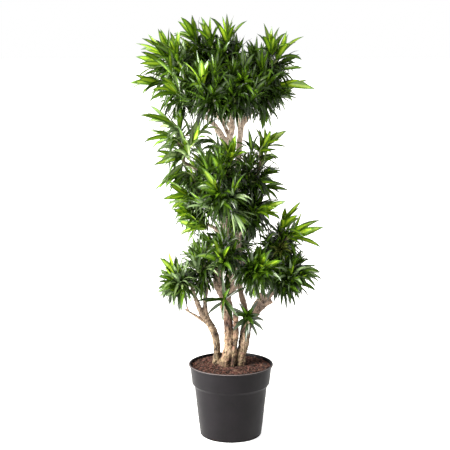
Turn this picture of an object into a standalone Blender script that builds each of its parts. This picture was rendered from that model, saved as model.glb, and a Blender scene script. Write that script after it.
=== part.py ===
"""Potted song of jamaica dracaena, a green plant on several canes in a grower's pot.

Metres, +Z up. The viewer stands on the -Y side, with +X to the right.
The origin is the centre of the pot's flat underside.
"""
import math
import random
from collections import namedtuple

import bmesh
import bpy
import numpy as np
from mathutils import Matrix, Vector
from mathutils.bvhtree import BVHTree

# Clearance that neighbouring pieces keep
GAP = 0.0003

# Driving sizes of the pot and the soil
POT_HEIGHT = 0.293
LIP_RADIUS = 0.170
LIP_HEIGHT = 0.007
COLLAR_TOP_RADIUS = 0.1640
COLLAR_FOOT_RADIUS = 0.1560
COLLAR_FOOT = 0.213
SHOULDER_RADIUS = 0.1465
SHOULDER_FOOT = 0.203
BASE_RADIUS = 0.1240
BASE_ROUND = 0.006
LIP_ROUND = 0.0022
WALL = 0.003
FLOOR = 0.005
POT_SEGMENTS = 36
NOTCH_COUNT = 4
NOTCH_TURN = math.radians(-123)
NOTCH_WIDTH = 0.032
NOTCH_HEIGHT = 0.006
NOTCH_LOW = 0.003
NOTCH_DEPTH = 0.018
POT_SHARP = math.radians(35)
SOIL_TOP = 0.284
SOIL_DISH = 0.002
SOIL_FLAT = 0.125

# Stems and limbs: each has knots of x, y, z and radius from foot to tip, and numbers of sides and rings
FOOT = SOIL_TOP + GAP
Limb = namedtuple("Limb", "knots sides rings")
LIMBS = {
    "centre_stem": Limb((
        (-0.026, -0.008, FOOT, 0.0310), (-0.007, -0.010, 0.345, 0.0225), (-0.004, -0.010, 0.400, 0.0210),
        (-0.012, -0.006, 0.470, 0.0195), (-0.023, 0.000, 0.560, 0.0235), (-0.056, 0.008, 0.645, 0.0175),
        (-0.030, 0.020, 0.780, 0.0175), (-0.022, 0.018, 0.950, 0.0155), (-0.011, 0.000, 1.160, 0.0130),
        (0.004, -0.002, 1.260, 0.0110), (-0.022, 0.000, 1.390, 0.0090)), 10, 20),
    "left_stem": Limb((
        (-0.059, 0.022, FOOT, 0.0150), (-0.057, 0.010, 0.342, 0.0145), (-0.060, -0.006, 0.400, 0.0145),
        (-0.079, -0.016, 0.450, 0.0158), (-0.099, -0.022, 0.480, 0.0140)), 9, 7),
    "left_upright": Limb((
        (-0.090, -0.022, 0.474, 0.0110), (-0.101, -0.022, 0.505, 0.0105), (-0.103, -0.020, 0.550, 0.0095),
        (-0.098, -0.018, 0.605, 0.0080)), 7, 5),
    "left_bough": Limb((
        (-0.098, -0.022, 0.482, 0.0130), (-0.116, -0.026, 0.506, 0.0125), (-0.137, -0.030, 0.556, 0.0100),
        (-0.152, -0.032, 0.598, 0.0080)), 7, 5),
    "left_twig": Limb((
        (-0.097, -0.026, 0.466, 0.0068), (-0.143, -0.034, 0.499, 0.0050), (-0.182, -0.042, 0.525, 0.0034)),
        5, 4),
    "right_stem": Limb((
        (0.037, -0.002, FOOT, 0.0200), (0.0435, -0.002, 0.342, 0.0205), (0.052, 0.000, 0.388, 0.0215),
        (0.064, 0.000, 0.440, 0.0200), (0.078, 0.000, 0.484, 0.0200)), 10, 8),
    "right_bough": Limb((
        (0.074, 0.000, 0.474, 0.0190), (0.090, 0.000, 0.500, 0.0215), (0.108, 0.000, 0.524, 0.0235),
        (0.150, -0.002, 0.563, 0.0250)), 9, 5),
    "cut_cane": Limb((
        (0.007, -0.022, FOOT, 0.0110), (0.0165, -0.020, 0.384, 0.0120), (0.0195, -0.018, 0.424, 0.0130),
        (0.019, -0.020, 0.508, 0.0120)), 8, 7),
    "centre_knuckle": Limb((
        (-0.018, -0.004, 0.578, 0.0140), (0.010, -0.012, 0.608, 0.0160), (0.020, -0.017, 0.662, 0.0160)),
        8, 5),
    "rear_stem": Limb((
        (0.040, 0.014, 0.375, 0.0110), (0.055, 0.034, 0.440, 0.0120), (0.058, 0.046, 0.500, 0.0115),
        (0.034, 0.052, 0.610, 0.0110), (0.030, 0.052, 0.800, 0.0110), (0.026, 0.044, 1.000, 0.0110),
        (0.034, 0.030, 1.180, 0.0115), (0.058, 0.096, 1.340, 0.0090)), 8, 15),
}

# Short sawn-off prongs: their start, end and radius
STUBS = {
    "right_bough": ((0.124, -0.002, 0.545), (0.116, -0.006, 0.586), 0.0070),
    "centre_knuckle": ((0.010, -0.013, 0.618), (-0.012, -0.020, 0.662), 0.0070),
}
STUB_SIDES = 6
STUB_RINGS = 3
STUB_TAPER = 0.85
BARK_SHARP = math.radians(50)

# Crown: every mass has a centre, half sizes, a count of shoots, the limb it grows from, the height where
# its bough leaves that limb, the bough's radius there, and the end and direction of each leading shoot.
# Without a height it grows from that limb's tip, and without a radius straight from that limb's side
Mass = namedtuple("Mass", "centre size shoots host height radius leads")
CROWN = {
    "top_left": Mass(
        (-0.185, -0.020, 1.420), (0.115, 0.170, 0.140), 9, "centre_stem", 1.170, 0.0115,
        (
            ((-0.204, -0.110, 1.512), (-0.20, -0.35, 0.92)),
            ((-0.243, -0.020, 1.510), (-0.76, -0.15, 0.60)),
            ((-0.280, -0.050, 1.419), (-0.97, -0.15, 0.16)),
            ((-0.207, -0.160, 1.383), (-0.40, -0.75, 0.52)),
            ((-0.249, 0.030, 1.458), (-0.90, -0.05, 0.34)),
            ((-0.181, -0.050, 1.324), (-0.20, -0.30, 0.40)),
        )),
    "top_front": Mass(
        (-0.085, -0.160, 1.390), (0.125, 0.140, 0.145), 5, "centre_stem", 1.235, 0.0085,
        (
            ((-0.105, -0.210, 1.412), (-0.05, -0.30, 0.95)),
        )),
    "top_centre": Mass(
        (-0.070, -0.010, 1.485), (0.145, 0.140, 0.120), 7, "centre_stem", None, None,
        (
            ((-0.131, -0.030, 1.574), (-0.50, -0.15, 0.85)),
            ((-0.073, -0.080, 1.563), (-0.32, -0.20, 0.93)),
            ((-0.016, -0.070, 1.563), (0.00, -0.20, 0.98)),
            ((0.022, -0.050, 1.518), (0.10, -0.15, 0.97)),
        )),
    "top_right": Mass(
        (0.130, -0.010, 1.415), (0.110, 0.170, 0.155), 9, "rear_stem", 1.240, 0.0095,
        (
            ((0.151, -0.060, 1.526), (-0.02, -0.25, 0.97)),
            ((0.178, -0.060, 1.514), (0.34, -0.25, 0.90)),
            ((0.191, -0.050, 1.408), (0.97, -0.15, 0.15)),
            ((0.191, -0.020, 1.494), (0.90, -0.15, 0.38)),
            ((0.095, -0.050, 1.495), (-0.35, -0.20, 0.90)),
        )),
    "top_right_front": Mass(
        (0.025, -0.165, 1.385), (0.115, 0.140, 0.140), 5, "rear_stem", 1.190, 0.0080,
        (
            ((0.039, -0.230, 1.424), (-0.15, -0.92, 0.36)),
        )),
    "top_back_left": Mass(
        (-0.095, 0.160, 1.395), (0.165, 0.150, 0.150), 6, "centre_stem", 1.200, 0.0085, ()),
    "top_back_right": Mass(
        (0.095, 0.170, 1.385), (0.145, 0.150, 0.145), 5, "rear_stem", None, None, ()),
    "mid_left": Mass(
        (-0.195, -0.040, 1.190), (0.100, 0.150, 0.125), 6, "centre_stem", 0.960, 0.0095,
        (
            ((-0.235, -0.060, 1.271), (-0.86, -0.20, 0.36)),
            ((-0.241, -0.100, 1.217), (-0.90, -0.20, 0.30)),
            ((-0.141, -0.140, 1.194), (0.30, -0.25, 0.92)),
        )),
    "mid_left_low": Mass(
        (-0.130, -0.060, 0.955), (0.090, 0.145, 0.140), 6, "centre_stem", 0.800, 0.0080,
        (
            ((-0.104, -0.130, 0.862), (-0.88, -0.35, 0.30)),
            ((-0.158, -0.120, 0.989), (-0.85, -0.45, 0.25)),
            ((-0.181, -0.100, 1.075), (-0.70, -0.45, -0.15)),
        )),
    "mid_front": Mass(
        (-0.040, -0.165, 1.020), (0.120, 0.140, 0.180), 6, "centre_stem", 0.900, 0.0080,
        (
            ((-0.001, -0.200, 1.140), (-0.05, -0.55, 0.83)),
            ((-0.046, -0.230, 1.012), (-0.45, -0.45, 0.77)),
            ((-0.092, -0.120, 1.219), (-0.80, -0.25, 0.45)),
        )),
    "mid_right": Mass(
        (0.080, -0.010, 1.050), (0.095, 0.165, 0.115), 6, "rear_stem", 0.960, 0.0085,
        (
            ((0.134, -0.070, 1.164), (0.00, -0.20, 0.97)),
            ((0.126, -0.080, 1.181), (0.72, -0.20, 0.64)),
            ((0.099, -0.090, 1.039), (0.92, -0.35, 0.10)),
        )),
    "mid_right_low": Mass(
        (0.075, -0.050, 0.910), (0.095, 0.150, 0.125), 5, "rear_stem", 0.800, 0.0075,
        (
            ((0.103, -0.120, 0.931), (0.86, -0.35, 0.38)),
        )),
    "mid_back": Mass(
        (-0.050, 0.155, 1.015), (0.155, 0.150, 0.150), 6, "centre_stem", 0.870, 0.0090, ()),
    "low_left": Mass(
        (-0.205, -0.050, 0.635), (0.068, 0.130, 0.085), 5, "left_bough", None, None,
        (
            ((-0.211, -0.080, 0.660), (-0.42, -0.25, 0.87)),
            ((-0.207, -0.090, 0.630), (-0.85, -0.35, 0.10)),
            ((-0.183, -0.120, 0.633), (-0.10, -0.75, -0.20)),
        )),
    "low_left_inner": Mass(
        (-0.115, 0.010, 0.680), (0.085, 0.140, 0.125), 5, "left_upright", None, None, ()),
    "low_front": Mass(
        (-0.020, -0.135, 0.775), (0.090, 0.110, 0.095), 3, "centre_stem", 0.690, 0.0070,
        (
            ((-0.035, -0.170, 0.737), (-0.15, -0.60, 0.78)),
        )),
    "low_right": Mass(
        (0.215, -0.020, 0.660), (0.105, 0.155, 0.105), 6, "right_bough", 0.560, 0.0090,
        (
            ((0.266, -0.060, 0.680), (0.96, -0.25, 0.08)),
        )),
    "low_right_top": Mass(
        (0.195, -0.010, 0.770), (0.105, 0.160, 0.095), 5, "rear_stem", 0.690, 0.0065,
        (
            ((0.195, -0.050, 0.857), (0.50, -0.20, 0.84)),
            ((0.245, -0.060, 0.823), (0.88, -0.20, 0.38)),
        )),
    "low_right_front": Mass(
        (0.095, -0.125, 0.695), (0.090, 0.120, 0.105), 4, "centre_knuckle", None, None,
        (
            ((0.114, -0.170, 0.702), (0.10, -0.70, 0.70)),
        )),
    "low_back": Mass(
        (0.000, 0.155, 0.725), (0.155, 0.145, 0.130), 6, "rear_stem", 0.600, 0.0080, ()),
    "centre_sprig": Mass(
        (-0.030, -0.090, 0.575), (0.110, 0.090, 0.090), 1, "centre_stem", 0.550, None,
        (
            ((-0.028, -0.078, 0.578), (-0.07, -0.94, 0.34)),
        )),
    "right_sprig": Mass(
        (0.068, -0.090, 0.500), (0.110, 0.090, 0.110), 1, "right_stem", 0.470, None,
        (
            ((0.064, -0.078, 0.508), (-0.11, -0.89, 0.43)),
        )),
}

# Steps between two knots of a curve, and points of a limb's path where a place on it is looked up
SPLINE_STEPS = 12
FINE = 200
# A limb within this of the Y axis takes its first spoke along X
STEEP = 0.8

# A bough heads for a point below its mass's centre, stops short of it, and rises first
BOUGH_SIDES = 6
BOUGH_RINGS = 5
BOUGH_AIM = 0.45
BOUGH_SHARE = 0.78
BOUGH_BEND = 0.45
BOUGH_RISE = 0.62
BOUGH_TAPER = (1.0, 0.9, 0.72)

# A mass's stem runs on from there to its core
STEM_RADIUS = (0.0070, 0.0050)
STEM_SIDES = 5
STEM_RINGS = 4
STEM_STRAIGHT = 0.4
CORE_DROP = 0.15

# Shoots end at spread places in the mass's space, clear of the walls to its neighbours
GOLDEN = math.pi * (3 - math.sqrt(5))
SEED = 11
WALL_MARGIN = 0.0015
LIMB_MARGIN = 0.0015
SHOOT_PLACES = 120
SHOOT_RISE = (0.95, -0.80)
SHOOT_DEPTH = (0.4, 1.15)
SHOOT_INSET = 0.070
SHOOT_LEAST = 0.2
SHOOT_CLEAR = 0.018
SHOOT_ROOT = 0.3
SHOOT_LIFT = (0.15, 1.15)
SHOOT_STRAY = 0.45
LEAD_EASE = 8.0
PLAIN_EASE = 1.7

# A twig leaves the nearest fit place of the wood before it and curves into its shoot's direction
TWIG_RADIUS = (0.0042, 0.0030)
TWIG_SIDES = 3
TWIG_RINGS = 3
TWIG_SUNK = 0.002
TWIG_LEAST = 0.03
TWIG_TURN = 1.6
TWIG_START = 0.35
TWIG_ARRIVE = 0.45

# Leaves stand along the end of each twig, upright at the tip and drooping with age
LEAFY_LENGTH = 0.090
LEAFY_SHARE = 0.9
LEAVES_PER_SHOOT = 6
LEAF_LENGTH = 0.128
LEAF_WIDTH = 0.044
LEAF_THICK = 0.0036
LEAF_BROADEST = 0.40
LEAF_YOUNG = 0.95
LEAF_LEAN = (math.radians(14), math.radians(132))
LEAF_LEAN_POWER = 0.85
LEAF_SAG = 0.35
LEAF_ARCH = (0.04, 0.12)
LEAF_TRIES = 14
LEAF_SPIN = 0.53
TRIES_PER_LENGTH = 4
SHORTER = 0.1
ROOT_SHARED = 0.005
ROOT_SUNK = 0.009

Twig = namedtuple("Twig", "path final ease")


def clear_scene():
    """Takes every object out of the scene."""
    for thing in list(bpy.data.objects):
        bpy.data.objects.remove(thing, do_unlink=True)


def material(name, colour, roughness):
    """A plain Principled material."""
    made = bpy.data.materials.new(name)
    made.use_nodes = True
    shader = made.node_tree.nodes["Principled BSDF"]
    shader.inputs["Base Color"].default_value = (*colour, 1.0)
    shader.inputs["Roughness"].default_value = roughness
    shader.inputs["Metallic"].default_value = 0.0
    made.diffuse_color = (*colour, 1.0)
    return made


def mesh_object(name, points, faces, finish=None):
    """An object made from points and faces, linked to the scene."""
    mesh = bpy.data.meshes.new(name)
    mesh.from_pydata([tuple(point) for point in points], [], faces)
    mesh.update()
    if finish is not None:
        mesh.materials.append(finish)
    made = bpy.data.objects.new(name, mesh)
    bpy.context.scene.collection.objects.link(made)
    return made


def remove_object(thing):
    """Takes one object and its mesh out of the file."""
    mesh = thing.data
    bpy.data.objects.remove(thing, do_unlink=True)
    bpy.data.meshes.remove(mesh)


def is_closed(mesh):
    """Whether every edge joins two faces."""
    work = bmesh.new()
    work.from_mesh(mesh)
    closed = all(len(edge.link_faces) == 2 for edge in work.edges)
    work.free()
    return closed


def apply_boolean(target, operation, tool=None, group=None):
    """Runs one Boolean on the target and keeps its result, from the second solver where the first fails."""
    cut = target.modifiers.new("boolean", "BOOLEAN")
    cut.operation = operation
    if group is None:
        cut.object = tool
    else:
        cut.operand_type = "COLLECTION"
        cut.collection = group
    for solver in ("EXACT", "MANIFOLD"):
        cut.solver = solver
        bpy.context.view_layer.update()
        evaluated = target.evaluated_get(bpy.context.evaluated_depsgraph_get())
        result = bpy.data.meshes.new_from_object(evaluated)
        if is_closed(result):
            break
    old = target.data
    target.modifiers.remove(cut)
    target.data = result
    bpy.data.meshes.remove(old)


def keep_largest_shell(thing):
    """Drops loose scraps and the walls of sealed hollows, so that one outer shell stays."""
    work = bmesh.new()
    work.from_mesh(thing.data)
    bmesh.ops.triangulate(work, faces=work.faces)
    left = set(work.faces)
    shells = []
    while left:
        edge = [left.pop()]
        shell = list(edge)
        while edge:
            for side in edge.pop().edges:
                for face in side.link_faces:
                    if face in left:
                        left.remove(face)
                        edge.append(face)
                        shell.append(face)
        shells.append(shell)
    shells.sort(key=lambda shell: sum(face.calc_area() for face in shell))
    scraps = [face for shell in shells[:-1] for face in shell]
    if scraps:
        bmesh.ops.delete(work, geom=scraps, context="FACES")
    work.to_mesh(thing.data)
    work.free()


def lathe(name, profile, segments, finish):
    """Turns a closed profile of radius and height, whose ends lie on the axis, about Z."""
    points = []
    rows = []
    for radius, height in profile:
        if radius == 0.0:
            rows.append([len(points)])
            points.append((0.0, 0.0, height))
            continue
        row = []
        for step in range(segments):
            turn = math.tau * step / segments
            row.append(len(points))
            points.append((radius * math.cos(turn), radius * math.sin(turn), height))
        rows.append(row)
    faces = []
    for low, high in zip(rows, rows[1:]):
        for step in range(segments):
            after = (step + 1) % segments
            if len(low) == 1:
                faces.append((low[0], high[after], high[step]))
            elif len(high) == 1:
                faces.append((low[step], low[after], high[0]))
            else:
                faces.append((low[step], low[after], high[after], high[step]))
    return mesh_object(name, points, faces, finish)


def shade_by_angle(thing, sharp):
    """Shades the piece smooth and keeps the edges that are sharper than an angle."""
    mesh = thing.data
    mesh.shade_smooth()
    mesh.set_sharp_from_angle(angle=sharp)


def inner_radius(height):
    """The radius of the pot's inner face at a height."""
    rise = (height - FLOOR) / (SHOULDER_FOOT - FLOOR)
    if rise <= 1.0:
        return BASE_RADIUS + (SHOULDER_RADIUS - BASE_RADIUS) * rise - WALL
    if height >= COLLAR_FOOT:
        rise = (height - COLLAR_FOOT) / (POT_HEIGHT - COLLAR_FOOT)
        return COLLAR_FOOT_RADIUS + (COLLAR_TOP_RADIUS - COLLAR_FOOT_RADIUS) * rise - WALL
    rise = (height - SHOULDER_FOOT) / (COLLAR_FOOT - SHOULDER_FOOT)
    return SHOULDER_RADIUS + (COLLAR_FOOT_RADIUS - SHOULDER_RADIUS) * rise - WALL


def make_pot(finish):
    """Grower's pot: straight taper, a stepped collar, a rolled lip and slots at the foot."""
    lip_foot = POT_HEIGHT - LIP_HEIGHT
    profile = (
        (0.0, 0.0),
        (BASE_RADIUS - BASE_ROUND, 0.0),
        (BASE_RADIUS, BASE_ROUND),
        (SHOULDER_RADIUS, SHOULDER_FOOT),
        (COLLAR_FOOT_RADIUS, COLLAR_FOOT),
        (COLLAR_TOP_RADIUS, lip_foot),
        (LIP_RADIUS, lip_foot + LIP_ROUND),
        (LIP_RADIUS, POT_HEIGHT - LIP_ROUND),
        (LIP_RADIUS - LIP_ROUND, POT_HEIGHT),
        (inner_radius(POT_HEIGHT), POT_HEIGHT),
        (inner_radius(COLLAR_FOOT), COLLAR_FOOT),
        (inner_radius(SHOULDER_FOOT), SHOULDER_FOOT),
        (inner_radius(FLOOR), FLOOR),
        (0.0, FLOOR),
    )
    pot = lathe("pot", profile, POT_SEGMENTS, finish)
    for count in range(NOTCH_COUNT):
        cut_notch(pot, NOTCH_TURN + math.tau * count / NOTCH_COUNT)
    shade_by_angle(pot, POT_SHARP)


def cut_notch(pot, turn):
    """Cuts one drain slot through the foot of the pot's wall."""
    work = bmesh.new()
    bmesh.ops.create_cube(work, size=1.0)
    bmesh.ops.scale(work, verts=work.verts, vec=(NOTCH_DEPTH, NOTCH_WIDTH, NOTCH_HEIGHT))
    bmesh.ops.translate(work, verts=work.verts, vec=(BASE_RADIUS, 0.0, NOTCH_LOW + NOTCH_HEIGHT / 2))
    bmesh.ops.rotate(work, verts=work.verts, matrix=Matrix.Rotation(turn, 3, "Z"))
    mesh = bpy.data.meshes.new("notch")
    work.to_mesh(mesh)
    work.free()
    cutter = bpy.data.objects.new("notch", mesh)
    bpy.context.scene.collection.objects.link(cutter)
    apply_boolean(pot, "DIFFERENCE", tool=cutter)
    remove_object(cutter)


def make_soil(finish):
    """Soil that fills the pot, dished a little towards the wall."""
    foot = FLOOR + GAP
    profile = (
        (0.0, foot),
        (inner_radius(foot) - GAP, foot),
        (inner_radius(SHOULDER_FOOT) - GAP, SHOULDER_FOOT),
        (inner_radius(COLLAR_FOOT) - GAP, COLLAR_FOOT),
        (inner_radius(SOIL_TOP - SOIL_DISH) - GAP, SOIL_TOP - SOIL_DISH),
        (SOIL_FLAT, SOIL_TOP),
        (0.0, SOIL_TOP),
    )
    soil = lathe("soil", profile, POT_SEGMENTS, finish)
    shade_by_angle(soil, POT_SHARP)


def spline(knots, count):
    """Points evenly spaced along a smooth curve through the knots, each with all the knots' values."""
    ends = np.array([knots[0], *knots, knots[-1]], dtype=float)
    ends[0] = 2 * ends[1] - ends[2]
    ends[-1] = 2 * ends[-2] - ends[-3]
    fine = []
    for first in range(len(knots) - 1):
        a, b, c, d = ends[first:first + 4]
        for step in range(SPLINE_STEPS + (first == len(knots) - 2)):
            t = step / SPLINE_STEPS
            curve = 2 * b + (c - a) * t + (2 * a - 5 * b + 4 * c - d) * t ** 2
            fine.append(0.5 * (curve + (3 * b - a - 3 * c + d) * t ** 3))
    fine = np.array(fine)
    along = np.concatenate(([0.0], np.cumsum(np.linalg.norm(np.diff(fine[:, :3], axis=0), axis=1))))
    places = np.linspace(0.0, along[-1], count)
    return np.column_stack([np.interp(places, along, fine[:, axis]) for axis in range(fine.shape[1])])


def tube(path, sides, facing=None, swell=0.0):
    """Points and faces of a closed tube along a path of x, y, z and radius; facing is its foot's way."""
    centres = [Vector(row[:3]) for row in path]
    points = []
    across = None
    for place, centre in enumerate(centres):
        ahead = centres[min(place + 1, len(centres) - 1)] - centres[max(place - 1, 0)]
        ahead.normalize()
        if place == 0 and facing is not None:
            ahead = facing
        if across is None:
            across = Vector((0, 1, 0)) if abs(ahead.y) < STEEP else Vector((1, 0, 0))
        across = (across - ahead * across.dot(ahead)).normalized()
        other = ahead.cross(across)
        for side in range(sides):
            turn = math.tau * side / sides
            spoke = across * math.cos(turn) + other * math.sin(turn)
            points.append(centre + spoke * (path[place][3] + swell))
    faces = []
    for ring in range(len(centres) - 1):
        for side in range(sides):
            after = (side + 1) % sides
            low = ring * sides
            high = low + sides
            faces.append((low + side, low + after, high + after, high + side))
    last = (len(centres) - 1) * sides
    faces.append(tuple(reversed(range(sides))))
    faces.append(tuple(range(last, last + sides)))
    return points, faces


def point_on(path, height):
    """The place on a limb's path at a height."""
    return Vector(path[int(np.argmin(np.abs(path[:, 2] - height)))][:3])


def heading(path, place):
    """The direction of a path as it reaches one of its places."""
    return Vector(path[place][:3] - path[place - 1][:3]).normalized()


def bough_path(mass):
    """A bough that leaves its host at a height, rises and bends out towards the foot of its mass."""
    host = spline(LIMBS[mass.host].knots, FINE)
    start = point_on(host, mass.height)
    aim = Vector(mass.centre) - Vector((0, 0, BOUGH_AIM * mass.size[2]))
    end = start.lerp(aim, BOUGH_SHARE)
    bend = start.lerp(end, BOUGH_BEND)
    bend.z = start.z + BOUGH_RISE * (end.z - start.z)
    knots = [(*point, taper * mass.radius) for point, taper in zip((start, bend, end), BOUGH_TAPER)]
    return spline(knots, BOUGH_RINGS)


def limb_paths():
    """The path and the number of sides of every stem and bough."""
    paths = {name: (spline(limb.knots, limb.rings), limb.sides) for name, limb in LIMBS.items()}
    for name, mass in CROWN.items():
        if mass.radius:
            paths[name + "_bough"] = (bough_path(mass), BOUGH_SIDES)
    return paths


def make_limb(name, paths, before, finish):
    """One limb, cut clear of the limbs before it, which it grows from or passes."""
    path, sides = paths[name]
    facing = Vector((0, 0, 1)) if path[0][2] == FOOT else None
    limb = mesh_object(name, *tube(path, sides, facing), finish)
    if name in STUBS:
        add_stub(limb, *STUBS[name])
    for other in before:
        cutter = mesh_object("cutter", *tube(*paths[other], swell=GAP))
        if touching(limb, cutter):
            apply_boolean(limb, "DIFFERENCE", tool=cutter)
        remove_object(cutter)
    keep_largest_shell(limb)
    shade_by_angle(limb, BARK_SHARP)


def add_stub(limb, start, end, radius):
    """Joins a short sawn-off prong to a limb."""
    knots = ((*start, radius), (*end, STUB_TAPER * radius))
    stub = mesh_object("stub", *tube(spline(knots, STUB_RINGS), STUB_SIDES))
    apply_boolean(limb, "UNION", tool=stub)
    remove_object(stub)


def search_tree(thing):
    """A search tree of an object's faces."""
    corners = [point.co for point in thing.data.vertices]
    return BVHTree.FromPolygons(corners, [face.vertices for face in thing.data.polygons])


def touching(first, second):
    """Whether two objects' surfaces cross."""
    return bool(search_tree(first).overlap(search_tree(second)))


def mean_size(mass):
    """A mass's mean half size."""
    return sum(mass.size) / 3


def space_walls(name):
    """Flat walls between a mass and its neighbours, as normals and reaches."""
    mass = CROWN[name]
    centre = Vector(mass.centre)
    size = mean_size(mass)
    walls = []
    for other, neighbour in CROWN.items():
        if other == name:
            continue
        away = Vector(neighbour.centre) - centre
        apart = away.length
        share = 0.5 * (apart ** 2 + size ** 2 - mean_size(neighbour) ** 2) / apart
        away.normalize()
        walls.append((away, away.dot(centre) + share - WALL_MARGIN))
    return walls


def inside(points, mass, walls, ease):
    """Whether points lie in a mass's own space."""
    centre = Vector(mass.centre)
    for point in points:
        if any(normal.dot(point) > reach for normal, reach in walls):
            return False
        away = point - centre
        if sum((away[axis] / mass.size[axis]) ** 2 for axis in range(3)) > ease:
            return False
    return True


def nearest(spot, shoots):
    """How far a place is from the nearest shoot's end, or its height while there is none."""
    return min([(spot - shoot[0]).length for shoot in shoots], default=spot.z)


def shoot_ends(mass, walls, root, chance):
    """Each shoot's end, direction and ease: the leading ones, then places as far apart as fit."""
    centre = Vector(mass.centre)
    first = chance.uniform(0, math.tau)
    places = []
    for number in range(SHOOT_PLACES):
        rise = SHOOT_RISE[0] + (SHOOT_RISE[1] - SHOOT_RISE[0]) * (number + 0.5) / SHOOT_PLACES
        turn = first + number * GOLDEN
        level = math.sqrt(1 - rise ** 2)
        way = (level * math.cos(turn), level * math.sin(turn), rise)
        out = Vector([way[axis] * mass.size[axis] for axis in range(3)])
        share = max(SHOOT_LEAST, 1 - SHOOT_INSET / out.length) * chance.uniform(*SHOOT_DEPTH)
        place = centre + out * share
        if all(normal.dot(place) < reach - SHOOT_CLEAR for normal, reach in walls):
            places.append(place)
    shoots = [(Vector(end), Vector(way).normalized(), LEAD_EASE) for end, way in mass.leads]
    while places and len(shoots) < mass.shoots:
        place = max(places, key=lambda spot: nearest(spot, shoots))
        places.remove(place)
        stray = Vector([chance.uniform(-SHOOT_STRAY, SHOOT_STRAY) for axis in range(3)])
        high = 0.5 + 0.5 * (place.z - centre.z) / mass.size[2]
        lift = SHOOT_LIFT[0] + (SHOOT_LIFT[1] - SHOOT_LIFT[0]) * high
        final = (place - root).normalized() + Vector((0, 0, lift)) + stray
        shoots.append((place, final.normalized(), PLAIN_EASE))
    return shoots


def twig_path(start, way, end, final):
    """A twig that leaves along one direction and ends along another."""
    reach = (end - start).length
    first = start + way * TWIG_START * reach
    second = end - final * TWIG_ARRIVE * reach
    rows = []
    for step in range(TWIG_RINGS):
        t = step / (TWIG_RINGS - 1)
        point = start * (1 - t) ** 3 + end * t ** 3 + (first * (1 - t) + second * t) * 3 * t * (1 - t)
        rows.append((*point, TWIG_RADIUS[0] + (TWIG_RADIUS[1] - TWIG_RADIUS[0]) * t))
    return np.array(rows)


def fork_cost(place, end):
    """How unfit a place of the wood is for a twig to an end: far off, or a sharp turn."""
    away = end - place[0]
    return away.length * (TWIG_TURN - place[1].dot(away.normalized()))


def sprouts(mass):
    """Whether a mass grows straight from its host's side, with no bough of its own."""
    return mass.height is not None and mass.radius is None


def stem_start(name, mass, paths):
    """Where a mass's stem starts and which way it points."""
    if sprouts(mass):
        start = point_on(spline(LIMBS[mass.host].knots, FINE), mass.height)
        return start, (Vector(mass.centre) - start).normalized()
    path = paths[mass.host if mass.height is None else name + "_bough"][0]
    way = heading(path, -1)
    return Vector(path[-1][:3]) + way * GAP, way


def grow_twigs(mass, walls, limbs, start, way, chance):
    """The stem of a mass and its twigs, each grown from the nearest fit place of the wood before it."""
    core = Vector(mass.centre) - Vector((0, 0, CORE_DROP * mass.size[2]))
    bend = start + way * STEM_STRAIGHT * (core - start).length
    stem = spline(((*start, STEM_RADIUS[0]), (*bend, STEM_RADIUS[0]), (*core, STEM_RADIUS[1])), STEM_RINGS)
    places = [(Vector(stem[step][:3]), heading(stem, step)) for step in range(2, len(stem))]
    twigs = []
    for end, final, ease in shoot_ends(mass, walls, start.lerp(core, SHOOT_ROOT), chance):
        fit = [place for place in places if (end - place[0]).length > TWIG_LEAST] or places
        fork, along = min(fit, key=lambda place: fork_cost(place, end))
        path = twig_path(fork - along * TWIG_SUNK, along, end, final)
        points, faces = tube(path, TWIG_SIDES)
        touches = BVHTree.FromPolygons(points, faces).overlap(limbs)
        if touches or not inside(points[TWIG_SIDES:], mass, walls, 1.0):
            continue
        twigs.append(Twig(path, final, ease))
        middle = len(path) // 2
        places.append((Vector(path[middle][:3]), heading(path, middle)))
    return stem, twigs


def leaf_shape(root, way, up, length, arch):
    """An arched leaf with a keel below: its root, two edge points, a keel point and its tip."""
    side = way.cross(up).normalized() * LEAF_WIDTH / 2
    middle = root + way * LEAF_BROADEST * length + up * arch * length
    points = [root, middle + side, middle - side, middle - up * LEAF_THICK, root + way * length]
    faces = []
    for corner in range(3):
        after = (corner + 1) % 3
        faces.append((0, 1 + corner, 1 + after))
        faces.append((4, 1 + after, 1 + corner))
    return points, faces


def leaf_at(root, final, spoke, age, shorter):
    """One leaf of an age from 0 at the shoot's tip to 1, with its direction."""
    lean = LEAF_LEAN[0] + (LEAF_LEAN[1] - LEAF_LEAN[0]) * age ** LEAF_LEAN_POWER
    way = final * math.cos(lean) + spoke * math.sin(lean)
    way.z -= LEAF_SAG * age
    way.normalize()
    up = (final - way * final.dot(way)).normalized()
    length = LEAF_LENGTH * (LEAF_YOUNG + (1 - LEAF_YOUNG) * math.sin(math.pi * age)) * (1 - shorter)
    arch = LEAF_ARCH[0] + (LEAF_ARCH[1] - LEAF_ARCH[0]) * age
    return leaf_shape(root, way, up, length, arch), way


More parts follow.
